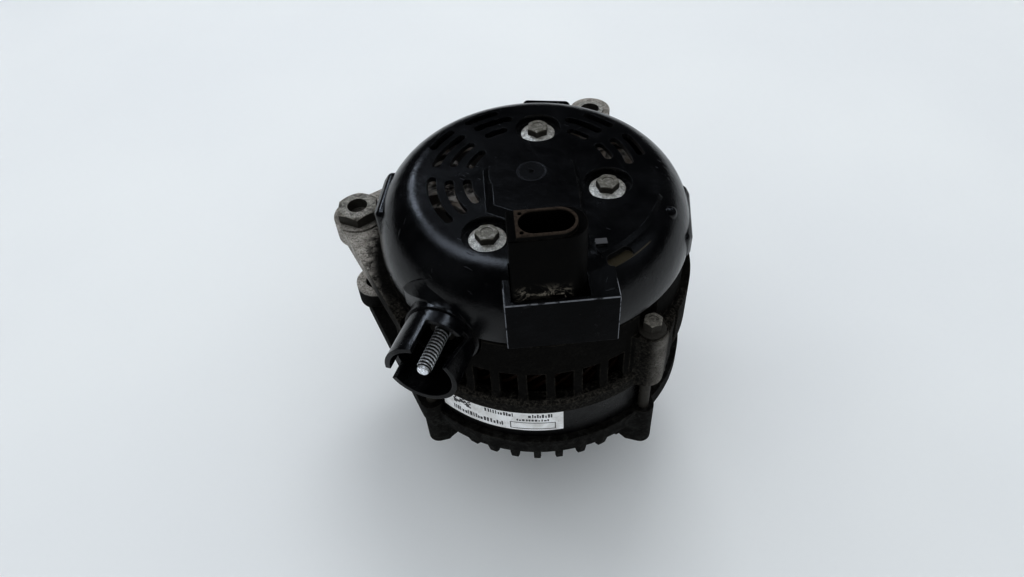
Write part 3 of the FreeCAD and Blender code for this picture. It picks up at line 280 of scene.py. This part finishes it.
def matte_plastic(g, tint):
    """Matte black glass-filled plastic with pale rubbed edges and dust."""
    grain = g.noise(0.5, 4.0, 0.65)
    blotch = g.noise(7.0, 5.0, 0.6, 0.6)
    rubbed = g.math("MULTIPLY", g.edges(0.5), g.between(g.noise(1.6, 4.0), 0.3, 0.6))
    dust = g.math("MULTIPLY", g.cavity(3.5), g.noise(2.2, 5.0, 0.7))
    paler = [2.6 * c for c in tint]
    colour = g.mix(g.between(blotch, 0.35, 0.75), tint, paler)
    colour = g.mix(g.math("MULTIPLY", rubbed, 0.6), colour, (0.13, 0.125, 0.12))
    colour = g.mix(g.between(dust, 0.15, 0.5, 0.0, 0.3), colour, (0.05, 0.044, 0.035))
    rough = g.between(blotch, 0.2, 0.8, 0.4, 0.62)
    normal = g.bump(grain, 0.05, g.rounded(0.4))
    g.finish(Base_Color=colour, Roughness=rough, Normal=normal, Specular_IOR_Level=0.1)


def tower_plastic(g):
    """The plug tower: matte black, rubbed brown round its rim, with a caked patch at its foot."""
    grain = g.noise(0.5, 4.0, 0.65)
    blotch = g.noise(7.0, 5.0, 0.6, 0.6)
    y, z = g.axis("Y"), g.axis("Z")
    rim = g.math("MULTIPLY", g.between(z, 184.2, 184.8), g.between(g.noise(1.2, 5.0), 0.3, 0.6, 0.45, 1.0))
    rubbed = g.math("MULTIPLY", g.edges(0.5), g.between(g.noise(1.6, 4.0), 0.3, 0.6))
    front = g.between(y, -62.2, -63.0)
    low = g.between(z, 163.0, 155.5)
    inset = g.between(g.math("ABSOLUTE", g.math("ADD", g.axis("X"), 1.5)), 11.0, 8.0)
    caked = g.math("MULTIPLY", g.math("MULTIPLY", front, g.math("MULTIPLY", low, inset)),
                   g.between(g.noise(4.5, 6.0, 0.75, 1.2), 0.48, 0.6))
    colour = g.mix(g.between(blotch, 0.35, 0.75), (0.0012, 0.0011, 0.0011), (0.004, 0.0036, 0.0034))
    colour = g.mix(g.math("MULTIPLY", rubbed, 0.4), colour, (0.06, 0.05, 0.042))
    colour = g.mix(g.math("MULTIPLY", rim, 0.8), colour, (0.062, 0.048, 0.038))
    colour = g.mix(caked, colour, g.mix(g.noise(1.0, 4.0), (0.13, 0.12, 0.1), (0.36, 0.33, 0.28)))
    rough = g.math("ADD", g.between(blotch, 0.2, 0.8, 0.42, 0.6), g.math("MULTIPLY", caked, 0.3), clamp=True)
    normal = g.bump(grain, 0.05, g.rounded(0.4))
    normal = g.bump(caked, 0.3, normal)
    g.finish(Base_Color=colour, Roughness=rough, Normal=normal, Specular_IOR_Level=0.05)


def cast_aluminium(g):
    """Die-cast aluminium: black all over, with greasy streaks low down that are partly a painted sheen, grit
    on its rim, and pale rough metal on the ears, with painted light on their upward faces and on the front
    lug's top and painted shade in their recesses.
    """
    pits = g.noise(0.8, 6.0, 0.72)
    flow = g.noise(5.0, 5.0, 0.65, 0.6)
    grime = g.noise(4.0, 7.0, 0.72, 0.8)
    y, z, reach = g.axis("Y"), g.axis("Z"), g.reach()
    above = g.between(z, 96.0, 108.0)
    ears = g.math("MULTIPLY", g.between(reach, 67.5, 74.0), above)
    behind = g.between(y, -36.0, -22.0)
    # the top of the front lug is painted pale: a painted highlight
    lug = g.math("MULTIPLY", g.between(reach, 70.0, 76.0), g.between(z, 77.0, 78.6))
    # upward faces get more of the pale metal than walls: painted light from above
    facing = g.between(g.upward(), 0.2, 0.85, 0.1, 1.0)
    # recesses lose the pale metal: painted shade
    recess_shade = g.between(g.cavity(5.0), 0.15, 0.75)
    # bare metal on the ears, with the painted light on upward faces and the lug's top and the painted shade
    # in recesses folded in
    bare = g.math("MULTIPLY", g.math("MULTIPLY", ears, behind), g.between(grime, 0.42, 0.56, 0.08, 1.0))
    bare = g.math("MAXIMUM", g.math("MULTIPLY", bare, facing), lug)
    bare = g.math("SUBTRACT", bare, g.math("MULTIPLY", recess_shade, 0.8), clamp=True)
    metal = g.mix(g.between(flow, 0.3, 0.7), (0.26, 0.25, 0.23), (0.5, 0.48, 0.45))
    metal = g.mix(g.between(pits, 0.47, 0.66, 0.0, 0.85), metal, (0.07, 0.063, 0.052))
    dirt = g.mix(g.between(pits, 0.35, 0.7), (0.0022, 0.002, 0.0019), (0.009, 0.0082, 0.007))
    colour = g.mix(bare, dirt, metal)
    rubbed = g.math("MULTIPLY", g.edges(0.8), g.between(grime, 0.42, 0.6))
    rubbed = g.math("MULTIPLY", rubbed, g.between(z, 86.0, 104.0, 0.35, 0.6))
    colour = g.mix(rubbed, colour, (0.12, 0.11, 0.09))
    crumbs = g.noise(1.2, 6.0, 0.74, 0.4)
    cloud = g.math("MULTIPLY", g.between(crumbs, 0.46, 0.72), g.between(flow, 0.4, 0.62))
    rim = g.math("MULTIPLY", g.between(z, 86.0, 88.5), g.between(z, 96.5, 94.0))
    boss = g.math("MULTIPLY", g.between(reach, 64.6, 66.0), g.between(y, -20.0, -34.0))
    boss = g.math("MULTIPLY", boss, g.between(z, 86.0, 88.0))
    on_boss = g.math("MULTIPLY", g.between(crumbs, 0.4, 0.7), g.math("MULTIPLY", boss, 0.55))
    cloud = g.math("MAXIMUM", cloud, on_boss)
    where = g.math("ADD", g.math("MAXIMUM", rim, boss), 0.12, clamp=True)
    grit = g.math("MULTIPLY", g.math("MULTIPLY", cloud, where), g.between(g.upward(), -0.2, 0.6, 0.45, 1.0))
    colour = g.mix(g.math("MULTIPLY", grit, 0.8), colour, g.mix(pits, (0.07, 0.064, 0.05), (0.3, 0.28, 0.24)))
    # greasy streaks low down, partly a painted sheen
    smear_and_sheen = g.math("MULTIPLY", g.between(z, 72.0, 64.0, 0.12, 1.0), g.between(grime, 0.42, 0.68))
    smear_and_sheen = g.math("MULTIPLY", smear_and_sheen, g.between(pits, 0.3, 0.6, 0.35, 1.0))
    colour = g.mix(g.math("MULTIPLY", smear_and_sheen, 0.7), colour, (0.045, 0.047, 0.044))
    rough = g.math("SUBTRACT", 0.75, g.math("MULTIPLY", bare, 0.2))
    normal = g.bump(pits, 0.25, g.rounded(0.7))
    normal = g.bump(flow, 0.3, normal)
    normal = g.bump(grit, 0.3, normal)
    g.finish(Base_Color=colour, Metallic=g.math("MULTIPLY", bare, 0.2), Roughness=rough, Normal=normal,
             Specular_IOR_Level=g.between(z, 96.0, 108.0, 0.12, 0.06))


def lacquered_core(g):
    """Black lacquer over a stack of laminations."""
    z = g.axis("Z")
    stack = g.math("ABSOLUTE", g.math("SINE", g.math("MULTIPLY", z, math.pi / 0.5)))
    dirt = g.noise(8.0, 6.0, 0.7, 0.8)
    dirt = g.math("MULTIPLY", g.between(dirt, 0.5, 0.75), g.between(g.cavity(6.0), 0.0, 0.5, 0.35, 1.0))
    colour = g.mix(dirt, (0.0022, 0.0022, 0.0026), (0.012, 0.011, 0.0095))
    rough = g.between(g.noise(4.0, 4.0), 0.3, 0.7, 0.24, 0.42)
    rough = g.math("ADD", rough, g.math("MULTIPLY", dirt, 0.3), clamp=True)
    normal = g.bump(stack, 0.035, g.rounded(0.3))
    normal = g.bump(g.noise(1.4, 4.0), 0.06, normal)
    g.finish(Base_Color=colour, Roughness=rough, Normal=normal, Specular_IOR_Level=0.3, Coat_Weight=0.15,
             Coat_Roughness=0.2)


def plated_steel(g, tone=(0.64, 0.63, 0.59), soiled=0.4, metallic=0.45, clean_above=None, worn_top=None):
    """Dull zinc plate on steel: a mottled spangle, dark specks, a dark stain in patches, and painted shade in
    crevices and on the sides.

    Below clean_above nearly everything is dark, as painted shade, and faces at worn_top are rubbed dark.
    """
    spangle = g.cells(0.75, output="Color")
    mottle = g.axis("X", spangle)
    fleck = g.noise(0.45, 3.0, 0.7)
    stain = g.noise(2.6, 5.0, 0.65, 0.6)
    dark = [0.25 * c for c in tone]
    colour = g.mix(g.between(mottle, 0.1, 0.9), tone, [0.6 * c for c in tone])
    colour = g.mix(g.between(fleck, 0.54, 0.68), colour, dark)
    stain_and_shade = g.math("MULTIPLY", g.between(stain, 0.42, 0.72), soiled)
    # darker in the crevices: painted shade
    stain_and_shade = g.math("ADD", stain_and_shade, g.between(g.cavity(2.0), 0.3, 0.9, 0.0, 0.75), clamp=True)
    # walls of heads and shanks go dark: painted shade
    side = g.between(g.math("ABSOLUTE", g.upward()), 0.8, 0.25, 0.0, 0.95)
    stain_and_shade = g.math("ADD", stain_and_shade, side, clamp=True)
    # below clean_above nearly everything is dark: painted shade
    if clean_above:
        stain_and_shade = g.math("MAXIMUM", stain_and_shade, g.between(g.axis("Z"), clean_above, clean_above - 1.0, 0.0, 0.93))
    colour = g.mix(stain_and_shade, colour, (0.03, 0.027, 0.021))
    if worn_top:
        cap = g.between(g.axis("Z"), worn_top - 0.9, worn_top - 0.5)
        cap = g.math("MULTIPLY", cap, g.between(stain, 0.3, 0.6, 0.45, 0.8))
        colour = g.mix(cap, colour, (0.13, 0.122, 0.1))
    rough = g.math("ADD", g.between(fleck, 0.3, 0.75, 0.3, 0.5), g.math("MULTIPLY", stain_and_shade, 0.25), clamp=True)
    normal = g.bump(fleck, 0.05, g.rounded(0.3))
    metallic = g.math("MULTIPLY", metallic, g.math("SUBTRACT", 1.0, g.math("MULTIPLY", stain_and_shade, 0.7)))
    g.finish(Base_Color=colour, Metallic=metallic, Roughness=rough, Normal=normal)


def threaded_steel(g):
    """The bright crests of a rolled thread."""
    fleck = g.noise(0.5, 3.0, 0.7)
    stain = g.noise(2.6, 4.0, 0.6)
    colour = g.mix(g.between(fleck, 0.5, 0.7), (0.86, 0.89, 0.93), (0.5, 0.52, 0.55))
    colour = g.mix(g.between(stain, 0.56, 0.75, 0.0, 0.7), colour, (0.1, 0.095, 0.08))
    rough = g.between(stain, 0.3, 0.75, 0.2, 0.42)
    g.finish(Base_Color=colour, Metallic=0.5, Roughness=rough, Normal=g.bump(fleck, 0.015))


def shaded_thread_root(g):
    """Painted shade between the crests, in a mottled dark brown."""
    grit = g.noise(0.6, 4.0)
    colour = g.mix(g.between(grit, 0.4, 0.7), (0.006, 0.0055, 0.005), (0.03, 0.027, 0.022))
    g.finish(Base_Color=colour, Roughness=g.between(grit, 0.3, 0.7, 0.4, 0.65), Normal=g.bump(grit, 0.03))


def ground_steel(g, tone=(0.66, 0.66, 0.67), turned=0.0):
    """Bright ground steel with fine marks round the axis and a trace of oil."""
    reach, z = g.reach(), g.axis("Z")
    finer = 14.0
    marks = g.node("CombineXYZ", {0: g.math("MULTIPLY", reach, finer), 1: g.math("MULTIPLY", z, finer)})
    rings = g.noise(1.0, 2.0, at=marks.outputs[0])
    oil = g.noise(4.0, 4.0)
    colour = g.mix(g.between(rings, 0.3, 0.7), tone, [0.8 * c for c in tone])
    colour = g.mix(g.between(oil, 0.55, 0.8, 0.0, 0.5), colour, (0.2, 0.17, 0.12))
    rough = g.between(oil, 0.3, 0.8, 0.16, 0.36)
    normal = g.bump(rings, 0.01 + turned, g.rounded(0.2))
    g.finish(Base_Color=colour, Metallic=1.0, Roughness=rough, Normal=normal)


def varnished_iron(g):
    """Forged poles under brown-black impregnating varnish, bare on the turned outer faces."""
    reach = g.reach()
    bare = g.between(reach, 50.6, 51.0)
    rust = g.noise(3.5, 6.0, 0.7, 0.5)
    forged = g.noise(1.8, 5.0, 0.65)
    colour = g.mix(g.between(rust, 0.4, 0.7), (0.03, 0.022, 0.018), (0.085, 0.042, 0.022))
    colour = g.mix(g.math("MULTIPLY", bare, g.between(rust, 0.35, 0.6, 1.0, 0.5)), colour, (0.42, 0.4, 0.38))
    rough = g.between(forged, 0.3, 0.7, 0.35, 0.6)
    normal = g.bump(forged, 0.18, g.rounded(0.5))
    g.finish(Base_Color=colour, Metallic=g.math("MULTIPLY", bare, 0.9), Roughness=rough, Normal=normal)


def wound_copper(g, lines=0.0, bright=(0.3, 0.1, 0.035), dull=(0.1, 0.032, 0.014)):
    """Copper wire under amber enamel and varnish drips."""
    drip = g.noise(3.0, 5.0, 0.6, 0.5)
    colour = g.mix(g.between(drip, 0.35, 0.7), bright, dull)
    # darker in the recesses: painted shade
    colour = g.mix(g.between(g.cavity(3.0), 0.2, 0.9, 0.0, 0.7), colour, (0.015, 0.008, 0.006))
    rough = g.between(drip, 0.3, 0.7, 0.26, 0.46)
    normal = g.rounded(0.35)
    if lines:
        z, reach = g.axis("Z"), g.reach()
        turns = g.math("ADD", g.math("SINE", g.math("MULTIPLY", z, math.tau / lines)),
                       g.math("SINE", g.math("MULTIPLY", reach, math.tau / lines)))
        normal = g.bump(turns, 0.2, normal)
    normal = g.bump(drip, 0.12, normal)
    g.finish(Base_Color=colour, Metallic=0.5, Roughness=rough, Normal=normal, Coat_Weight=0.3)


def sheet_aluminium(g):
    """Stamped aluminium plate, slightly oxidised."""
    brush = g.noise(1.0, 3.0, at=g.place(stretch=(3.0, 0.15, 3.0)))
    cloud = g.noise(6.0, 5.0)
    grime = g.between(g.noise(13.0, 4.0, 0.6, 0.5), 0.44, 0.54)
    colour = g.mix(g.between(cloud, 0.35, 0.7), (0.8, 0.79, 0.76), (0.4, 0.33, 0.26))
    colour = g.mix(grime, colour, (0.03, 0.026, 0.021))
    rough = g.between(brush, 0.3, 0.7, 0.34, 0.52)
    normal = g.bump(brush, 0.03, g.rounded(0.3))
    g.finish(Base_Color=colour, Metallic=0.2, Roughness=rough, Normal=normal)


def carbon_brush(g):
    """Grainy copper-loaded carbon."""
    grain = g.noise(0.3, 4.0, 0.7)
    colour = g.mix(g.between(grain, 0.4, 0.7), (0.02, 0.018, 0.018), (0.1, 0.065, 0.05))
    g.finish(Base_Color=colour, Metallic=0.4, Roughness=g.between(grain, 0.3, 0.7, 0.4, 0.6),
             Normal=g.bump(grain, 0.03, g.rounded(0.3)))


def phosphated_pulley(g):
    """Black phosphated steel whose belt ribs are polished by running."""
    reach = g.reach()
    polish = g.math("MULTIPLY", g.between(reach, 24.2, 25.2), g.between(reach, 27.7, 27.9, 1.0, 0.0))
    patch = g.noise(2.5, 5.0, 0.65)
    colour = g.mix(g.between(patch, 0.35, 0.7), (0.02, 0.02, 0.022), (0.055, 0.05, 0.045))
    shine = g.math("MULTIPLY", polish, g.between(patch, 0.3, 0.6, 0.9, 0.4))
    colour = g.mix(shine, colour, (0.5, 0.49, 0.47))
    rough = g.between(patch, 0.3, 0.7, 0.3, 0.55)
    normal = g.bump(g.noise(0.6, 3.0), 0.04, g.rounded(0.3))
    g.finish(Base_Color=colour, Metallic=g.math("ADD", 0.3, g.math("MULTIPLY", polish, 0.6)),
             Roughness=rough, Normal=normal)


def seal_rubber(g):
    """Dark brown rubber with a dull bloom."""
    bloom = g.noise(3.0, 5.0)
    colour = g.mix(g.between(bloom, 0.4, 0.7), (0.016, 0.011, 0.01), (0.05, 0.034, 0.028))
    g.finish(Base_Color=colour, Roughness=g.between(bloom, 0.3, 0.7, 0.5, 0.75),
             Normal=g.bump(g.noise(0.5, 3.0), 0.04, g.rounded(0.3)))


def label_film(g):
    """A pale printed plastic sheet with scuffs."""
    fibre = g.noise(0.5, 3.0)
    stain = g.noise(6.0, 6.0, 0.65, 0.6)
    scuff = g.between(g.noise(1.2, 5.0, 0.7), 0.6, 0.7)
    colour = g.mix(g.between(stain, 0.35, 0.75), (0.86, 0.87, 0.88), (0.66, 0.66, 0.65))
    colour = g.mix(g.math("MULTIPLY", scuff, 0.55), colour, (0.16, 0.155, 0.145))
    g.finish(Base_Color=colour, Roughness=g.between(stain, 0.3, 0.7, 0.28, 0.45),
             Normal=g.bump(fibre, 0.02))


def label_ink(g):
    """Black print, worn grey in patches."""
    wear = g.noise(0.8, 5.0, 0.7)
    colour = g.mix(g.between(wear, 0.5, 0.72), (0.03, 0.03, 0.034), (0.2, 0.2, 0.2))
    g.finish(Base_Color=colour, Roughness=g.between(wear, 0.3, 0.7, 0.35, 0.5),
             Normal=g.bump(wear, 0.01))


def table_top(g):
    """A plain pale matt table."""
    cloud = g.noise(260.0, 3.0, 0.5)
    colour = g.mix(g.between(cloud, 0.3, 0.7), (0.74, 0.765, 0.785), (0.765, 0.79, 0.805))
    g.finish(Base_Color=colour, Roughness=0.6, Specular_IOR_Level=0.2,
             Normal=g.bump(g.noise(1.5, 2.0), 0.01))


MATERIALS = {
    "cover_plastic": material("cover_plastic", gloss_cover),
    "tower_plastic": material("tower_plastic", tower_plastic),
    "casting": material("casting", cast_aluminium),
    "core_steel": material("core_steel", lacquered_core),
    "zinc_steel": material("zinc_steel", plated_steel),
    "worn_heads": material("worn_heads", plated_steel, worn_top=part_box("cover_bolts")[1][2] / MM),
    # the through bolts' shanks go dark below z 122: painted shade in the gap between the brackets
    "dirty_steel": material("dirty_steel", plated_steel, tone=(0.34, 0.325, 0.29), soiled=0.9, metallic=0.2,
                            clean_above=122.0),
    "bearing_steel": material("bearing_steel", ground_steel),
    "shaft_steel": material("shaft_steel", ground_steel, tone=(0.46, 0.46, 0.47), turned=0.02),
    "pole_iron": material("pole_iron", varnished_iron),
    # the stator winding's copper is a much darker copy of the coil's: painted shade inside the housing
    "copper": material("copper", wound_copper, bright=(0.028, 0.011, 0.005), dull=(0.006, 0.003, 0.002)),
    "coil_copper": material("coil_copper", wound_copper, lines=0.9),
    "slip_copper": material("slip_copper", ground_steel, tone=(0.83, 0.46, 0.27), turned=0.02),
    "heat_sink": material("heat_sink", sheet_aluminium),
    "carbon": material("carbon", carbon_brush),
    "moulding": material("moulding", matte_plastic, tint=(0.012, 0.0095, 0.008)),
    "pulley_steel": material("pulley_steel", phosphated_pulley),
    "rubber_seal": material("rubber_seal", seal_rubber),
    "label_film": material("label_film", label_film),
    "label_ink": material("label_ink", label_ink),
    "threaded_steel": material("threaded_steel", threaded_steel),
    "shaded_thread_root": material("shaded_thread_root", shaded_thread_root),
}


def dress(obj, name):
    """Gives an object one of the materials above."""
    obj.data.materials.clear()
    obj.data.materials.append(MATERIALS[name])


for part in frame["record"]["subparts"]:
    dress(NODES[part["node"]], part["material_slot"])
dress(NODES["field_coil"], "coil_copper")
dress(NODES["cover_bolts"], "worn_heads")


# ---------------------------------------------------------------- pieces built here
def new_piece(name, verts, faces, look):
    """A mesh piece that rides on the housing."""
    mesh = bpy.data.meshes.new(name)
    mesh.from_pydata(verts, [], faces)
    mesh.update()
    piece = bpy.data.objects.new(name, mesh)
    bpy.context.scene.collection.objects.link(piece)
    dress(piece, look)
    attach(piece, "housing")
    return piece


def turned_outline():
    """The output stud, root first, as rows of (distance, radius, thread depth) in millimetres."""
    root, collar = 3.4, 5.6
    rows = [(-42.0, root, 0.0), (-28.8, root, 0.0), (-28.8, collar, 0.0), (-27.0, collar, 0.0),
            (-27.0, root, 0.0), (STUD_SEAT, root, 0.0), (STUD_SEAT, 2.75, 0.0)]
    crest, depth, step = 3.0, 0.7, THREAD_PITCH / 10
    steps = int((-1.6 - STUD_SEAT - 1.0) / step)
    rows += [(STUD_SEAT + 1.0 + k * step, crest, depth) for k in range(steps + 1)]
    return rows + [(-1.3, 2.35, 0.0), (-0.35, 2.3, 0.0), (0.0, 2.0, 0.0)]


def build_stud():
    """The output stud with its rolled thread and dog point, turned round the record's pin axis."""
    mount = next(m for m in frame["record"]["mounts"] if m["name"] == "output_stud")
    axis = Vector(mount["axis"]).normalized()
    middle = Vector(mount["pos_m"])
    tip = middle + axis * (mount["dims"]["length_mm"] / 2 + STUD_TIP_CONE) * MM
    up = Vector((0, 0, 1))
    side = axis.cross(up).normalized()
    around = 48
    outline = turned_outline()
    verts = [tip + axis * outline[0][0] * MM]
    for s, r, depth in outline:
        for k in range(around):
            turn = k / around
            wave = abs(((s / THREAD_PITCH - turn) % 1.0) * 2.0 - 1.0)
            out = (r - depth * min(1.0, max(0.0, 1.4 * wave - 0.3))) * MM
            angle = math.tau * turn
            verts.append(tip + axis * s * MM + side * out * math.cos(angle) + up * out * math.sin(angle))
    verts.append(tip)
    rows = len(outline)
    faces = [(0, 1 + k, 1 + (k + 1) % around) for k in range(around)]
    for row in range(rows - 1):
        base = 1 + row * around
        for k in range(around):
            after = (k + 1) % around
            faces.append((base + k, base + around + k, base + around + after, base + after))
    last = 1 + (rows - 1) * around
    faces += [(last + k, len(verts) - 1, last + (k + 1) % around) for k in range(around)]
    stud = new_piece("output_stud", verts, faces, "threaded_steel")
    stud.data.materials.append(MATERIALS["shaded_thread_root"])
    root_r = 2.72
    # faces down in the thread's grooves get the painted shade
    for face in stud.data.polygons:
        along = (face.center - tip).dot(axis)
        out = (face.center - tip - axis * along).length / MM
        threaded = STUD_SEAT < along / MM < -1.0
        face.material_index = 1 if threaded and out < root_r else 0
    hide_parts("b_plus_stud")


def bars(draw, start, end, low, high):
    """Upright strokes of mixed widths and heights, which read as a line of print without being letters."""
    made, at = [], start
    while at < end - 0.4:
        wide = draw.uniform(0.45, 1.1)
        drop = draw.choice((0.0, 0.0, 0.35)) * (high - low)
        made.append((at, min(at + wide, end), low, high - drop))
        at += wide + draw.uniform(0.35, 0.75)
    return made


def label_layout():
    """Printed marks as (start, end, low, high) in millimetres along and up the label."""
    draw = random.Random(11)
    made = []
    for line in LABEL_LINES:
        made += bars(draw, *line)
    left, foot, cell, count, share = 6.5, 77.6, 0.8, 11, 0.55
    for column in range(count):
        for row in range(count):
            if draw.random() < share:
                made.append((left + column * cell, left + (column + 1) * cell,
                             foot + row * cell, foot + (row + 1) * cell))
    start, end, low, high, line = 33.0, 52.5, 71.4, 76.2, 0.35
    made += [(start, end, low, low + line), (start, end, high - line, high),
             (start, start + line, low + line, high - line), (end - line, end, low + line, high - line)]
    return made


def build_label_marks():
    """Generic print on the label: thin raised blocks that follow its curve."""
    radius = -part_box("name_label")[0][1] / MM
    sunk, proud, longest = 0.01, 0.04, 1.5
    inner, outer = radius - sunk, radius + proud
    start = math.radians(-135.5)
    verts, faces = [], []
    for left, right, low, high in label_layout():
        steps = max(1, round((right - left) / longest))
        first = len(verts)
        for k in range(steps + 1):
            angle = start + (left + (right - left) * k / steps) / radius
            for r, z in ((inner, low), (outer, low), (outer, high), (inner, high)):
                verts.append((r * math.cos(angle) * MM, r * math.sin(angle) * MM, z * MM))
        for k in range(steps):
            a, b = first + 4 * k, first + 4 * k + 4
            faces += [(a + i, a + (i + 1) % 4, b + (i + 1) % 4, b + i) for i in range(4)]
        end = first + 4 * steps
        faces += [(first + 3, first + 2, first + 1, first), (end, end + 1, end + 2, end + 3)]
    new_piece("label_marks", verts, faces, "label_ink")


def build_springs():
    """The brush springs, copied from the CAD ones and riding on the housing."""
    for joint in frame["record"]["behaviour"]["joints"]:
        if not joint["name"].endswith("_brush_slide"):
            continue
        which = joint["name"].split("_")[0]
        node = "brush_spring_" + which
        spring = bpy.data.objects.new("spring_" + which, NODES[node].data.copy())
        bpy.context.scene.collection.objects.link(spring)
        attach(spring, "housing")
        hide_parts(node)
        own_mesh(spring)


build_stud()
build_label_marks()
build_springs()


# ---------------------------------------------------------------- stage, light and camera
def build_floor():
    """A flat table, wide enough to have no edge in sight."""
    size = 40.0
    mesh = bpy.data.meshes.new("table")
    corners = [(-size, -size, 0), (size, -size, 0), (size, size, 0), (-size, size, 0)]
    mesh.from_pydata(corners, [], [(0, 1, 2, 3)])
    floor = bpy.data.objects.new("table", mesh)
    bpy.context.scene.collection.objects.link(floor)
    mesh.materials.append(material("table_top", table_top))


def build_world():
    """A pale surround for plain light, and for reflections a dark room with a few soft lamps."""
    world = bpy.data.worlds.new("studio")
    bpy.context.scene.world = world
    world.use_nodes = True
    g = Graph(world.node_tree)
    direction = g.node("TexCoord").outputs["Generated"]
    seen = 0.02  # the dark room itself
    for toward, reach, blur, strength in REFLECTED_LAMPS:
        aim = Vector(toward).normalized()
        facing = g.node("VectorMath", {0: direction, 1: aim}, operation="DOT_PRODUCT").outputs["Value"]
        inner, outer = math.cos(math.radians(reach)), math.cos(math.radians(reach + blur))
        seen = g.math("ADD", seen, g.between(facing, outer, inner, 0.0, strength))
    glossy = g.node("LightPath").outputs["Is Glossy Ray"]
    dim = g.node("Background", {"Color": (0.78, 0.87, 1.0), "Strength": seen})
    lit = g.node("Background", {"Color": (0.97, 0.985, 1.0), "Strength": 0.93})
    mixed = g.node("MixShader", {0: glossy, 1: lit.outputs[0], 2: dim.outputs[0]})
    out = g.node("OutputWorld")
    g.tree.links.new(mixed.outputs[0], out.inputs[0])


def area_light(name, at, towards, size, power):
    """A white rectangular lamp that reflections don't show."""
    light = bpy.data.lights.new(name, "AREA")
    light.shape = "RECTANGLE"
    light.size, light.size_y = size
    light.energy = power
    lamp = bpy.data.objects.new(name, light)
    bpy.context.scene.collection.objects.link(lamp)
    lamp.location = at
    lamp.rotation_euler = (Vector(towards) - Vector(at)).to_track_quat("-Z", "Y").to_euler()
    lamp.visible_glossy = False


def build_lights():
    """A soft key lamp behind and above, and a weak one from the left."""
    area_light("key", at=(0.17, 0.75, 1.3), towards=(0, 0, 0.05), size=(0.6, 0.5), power=4.6)
    area_light("side", at=(-0.9, 0.5, 0.9), towards=(0, 0, 0.1), size=(0.25, 0.25), power=0.8)


def build_camera():
    """Above the plug-tower side, looking down at the rear cover from close by."""
    target = Vector((0.0, 0.0, 0.160))
    distance, elevation, azimuth = 0.310508, 38.981, -3.4
    pitch, yaw, roll = 8.598, -1.858, 2.861
    angle = math.radians
    swing = Matrix.Rotation(angle(azimuth), 3, "Z")
    aim = Matrix.Rotation(angle(90.0 - elevation), 3, "X")
    trim = (Matrix.Rotation(angle(-yaw), 3, "Y") @ Matrix.Rotation(angle(-pitch), 3, "X")
            @ Matrix.Rotation(angle(-roll), 3, "Z"))
    back = Vector((0.0, -math.cos(angle(elevation)), math.sin(angle(elevation))))
    film_width, focal_length, nearest = 36.0, 27.07, 0.01
    camera = bpy.data.cameras.new("camera")
    camera.sensor_width = film_width
    camera.lens = focal_length
    camera.clip_start = nearest
    eye = bpy.data.objects.new("camera", camera)
    bpy.context.scene.collection.objects.link(eye)
    eye.matrix_world = Matrix.Translation(target + swing @ back * distance) @ (swing @ aim @ trim).to_4x4()
    bpy.context.scene.camera = eye


def set_tone():
    """Plain display colours with slightly darker mid-tones."""
    settings = bpy.context.scene.view_settings
    settings.view_transform = "Standard"
    settings.gamma = 0.76
    settings.exposure = -0.03


build_floor()
build_world()
build_lights()
build_camera()
set_tone()
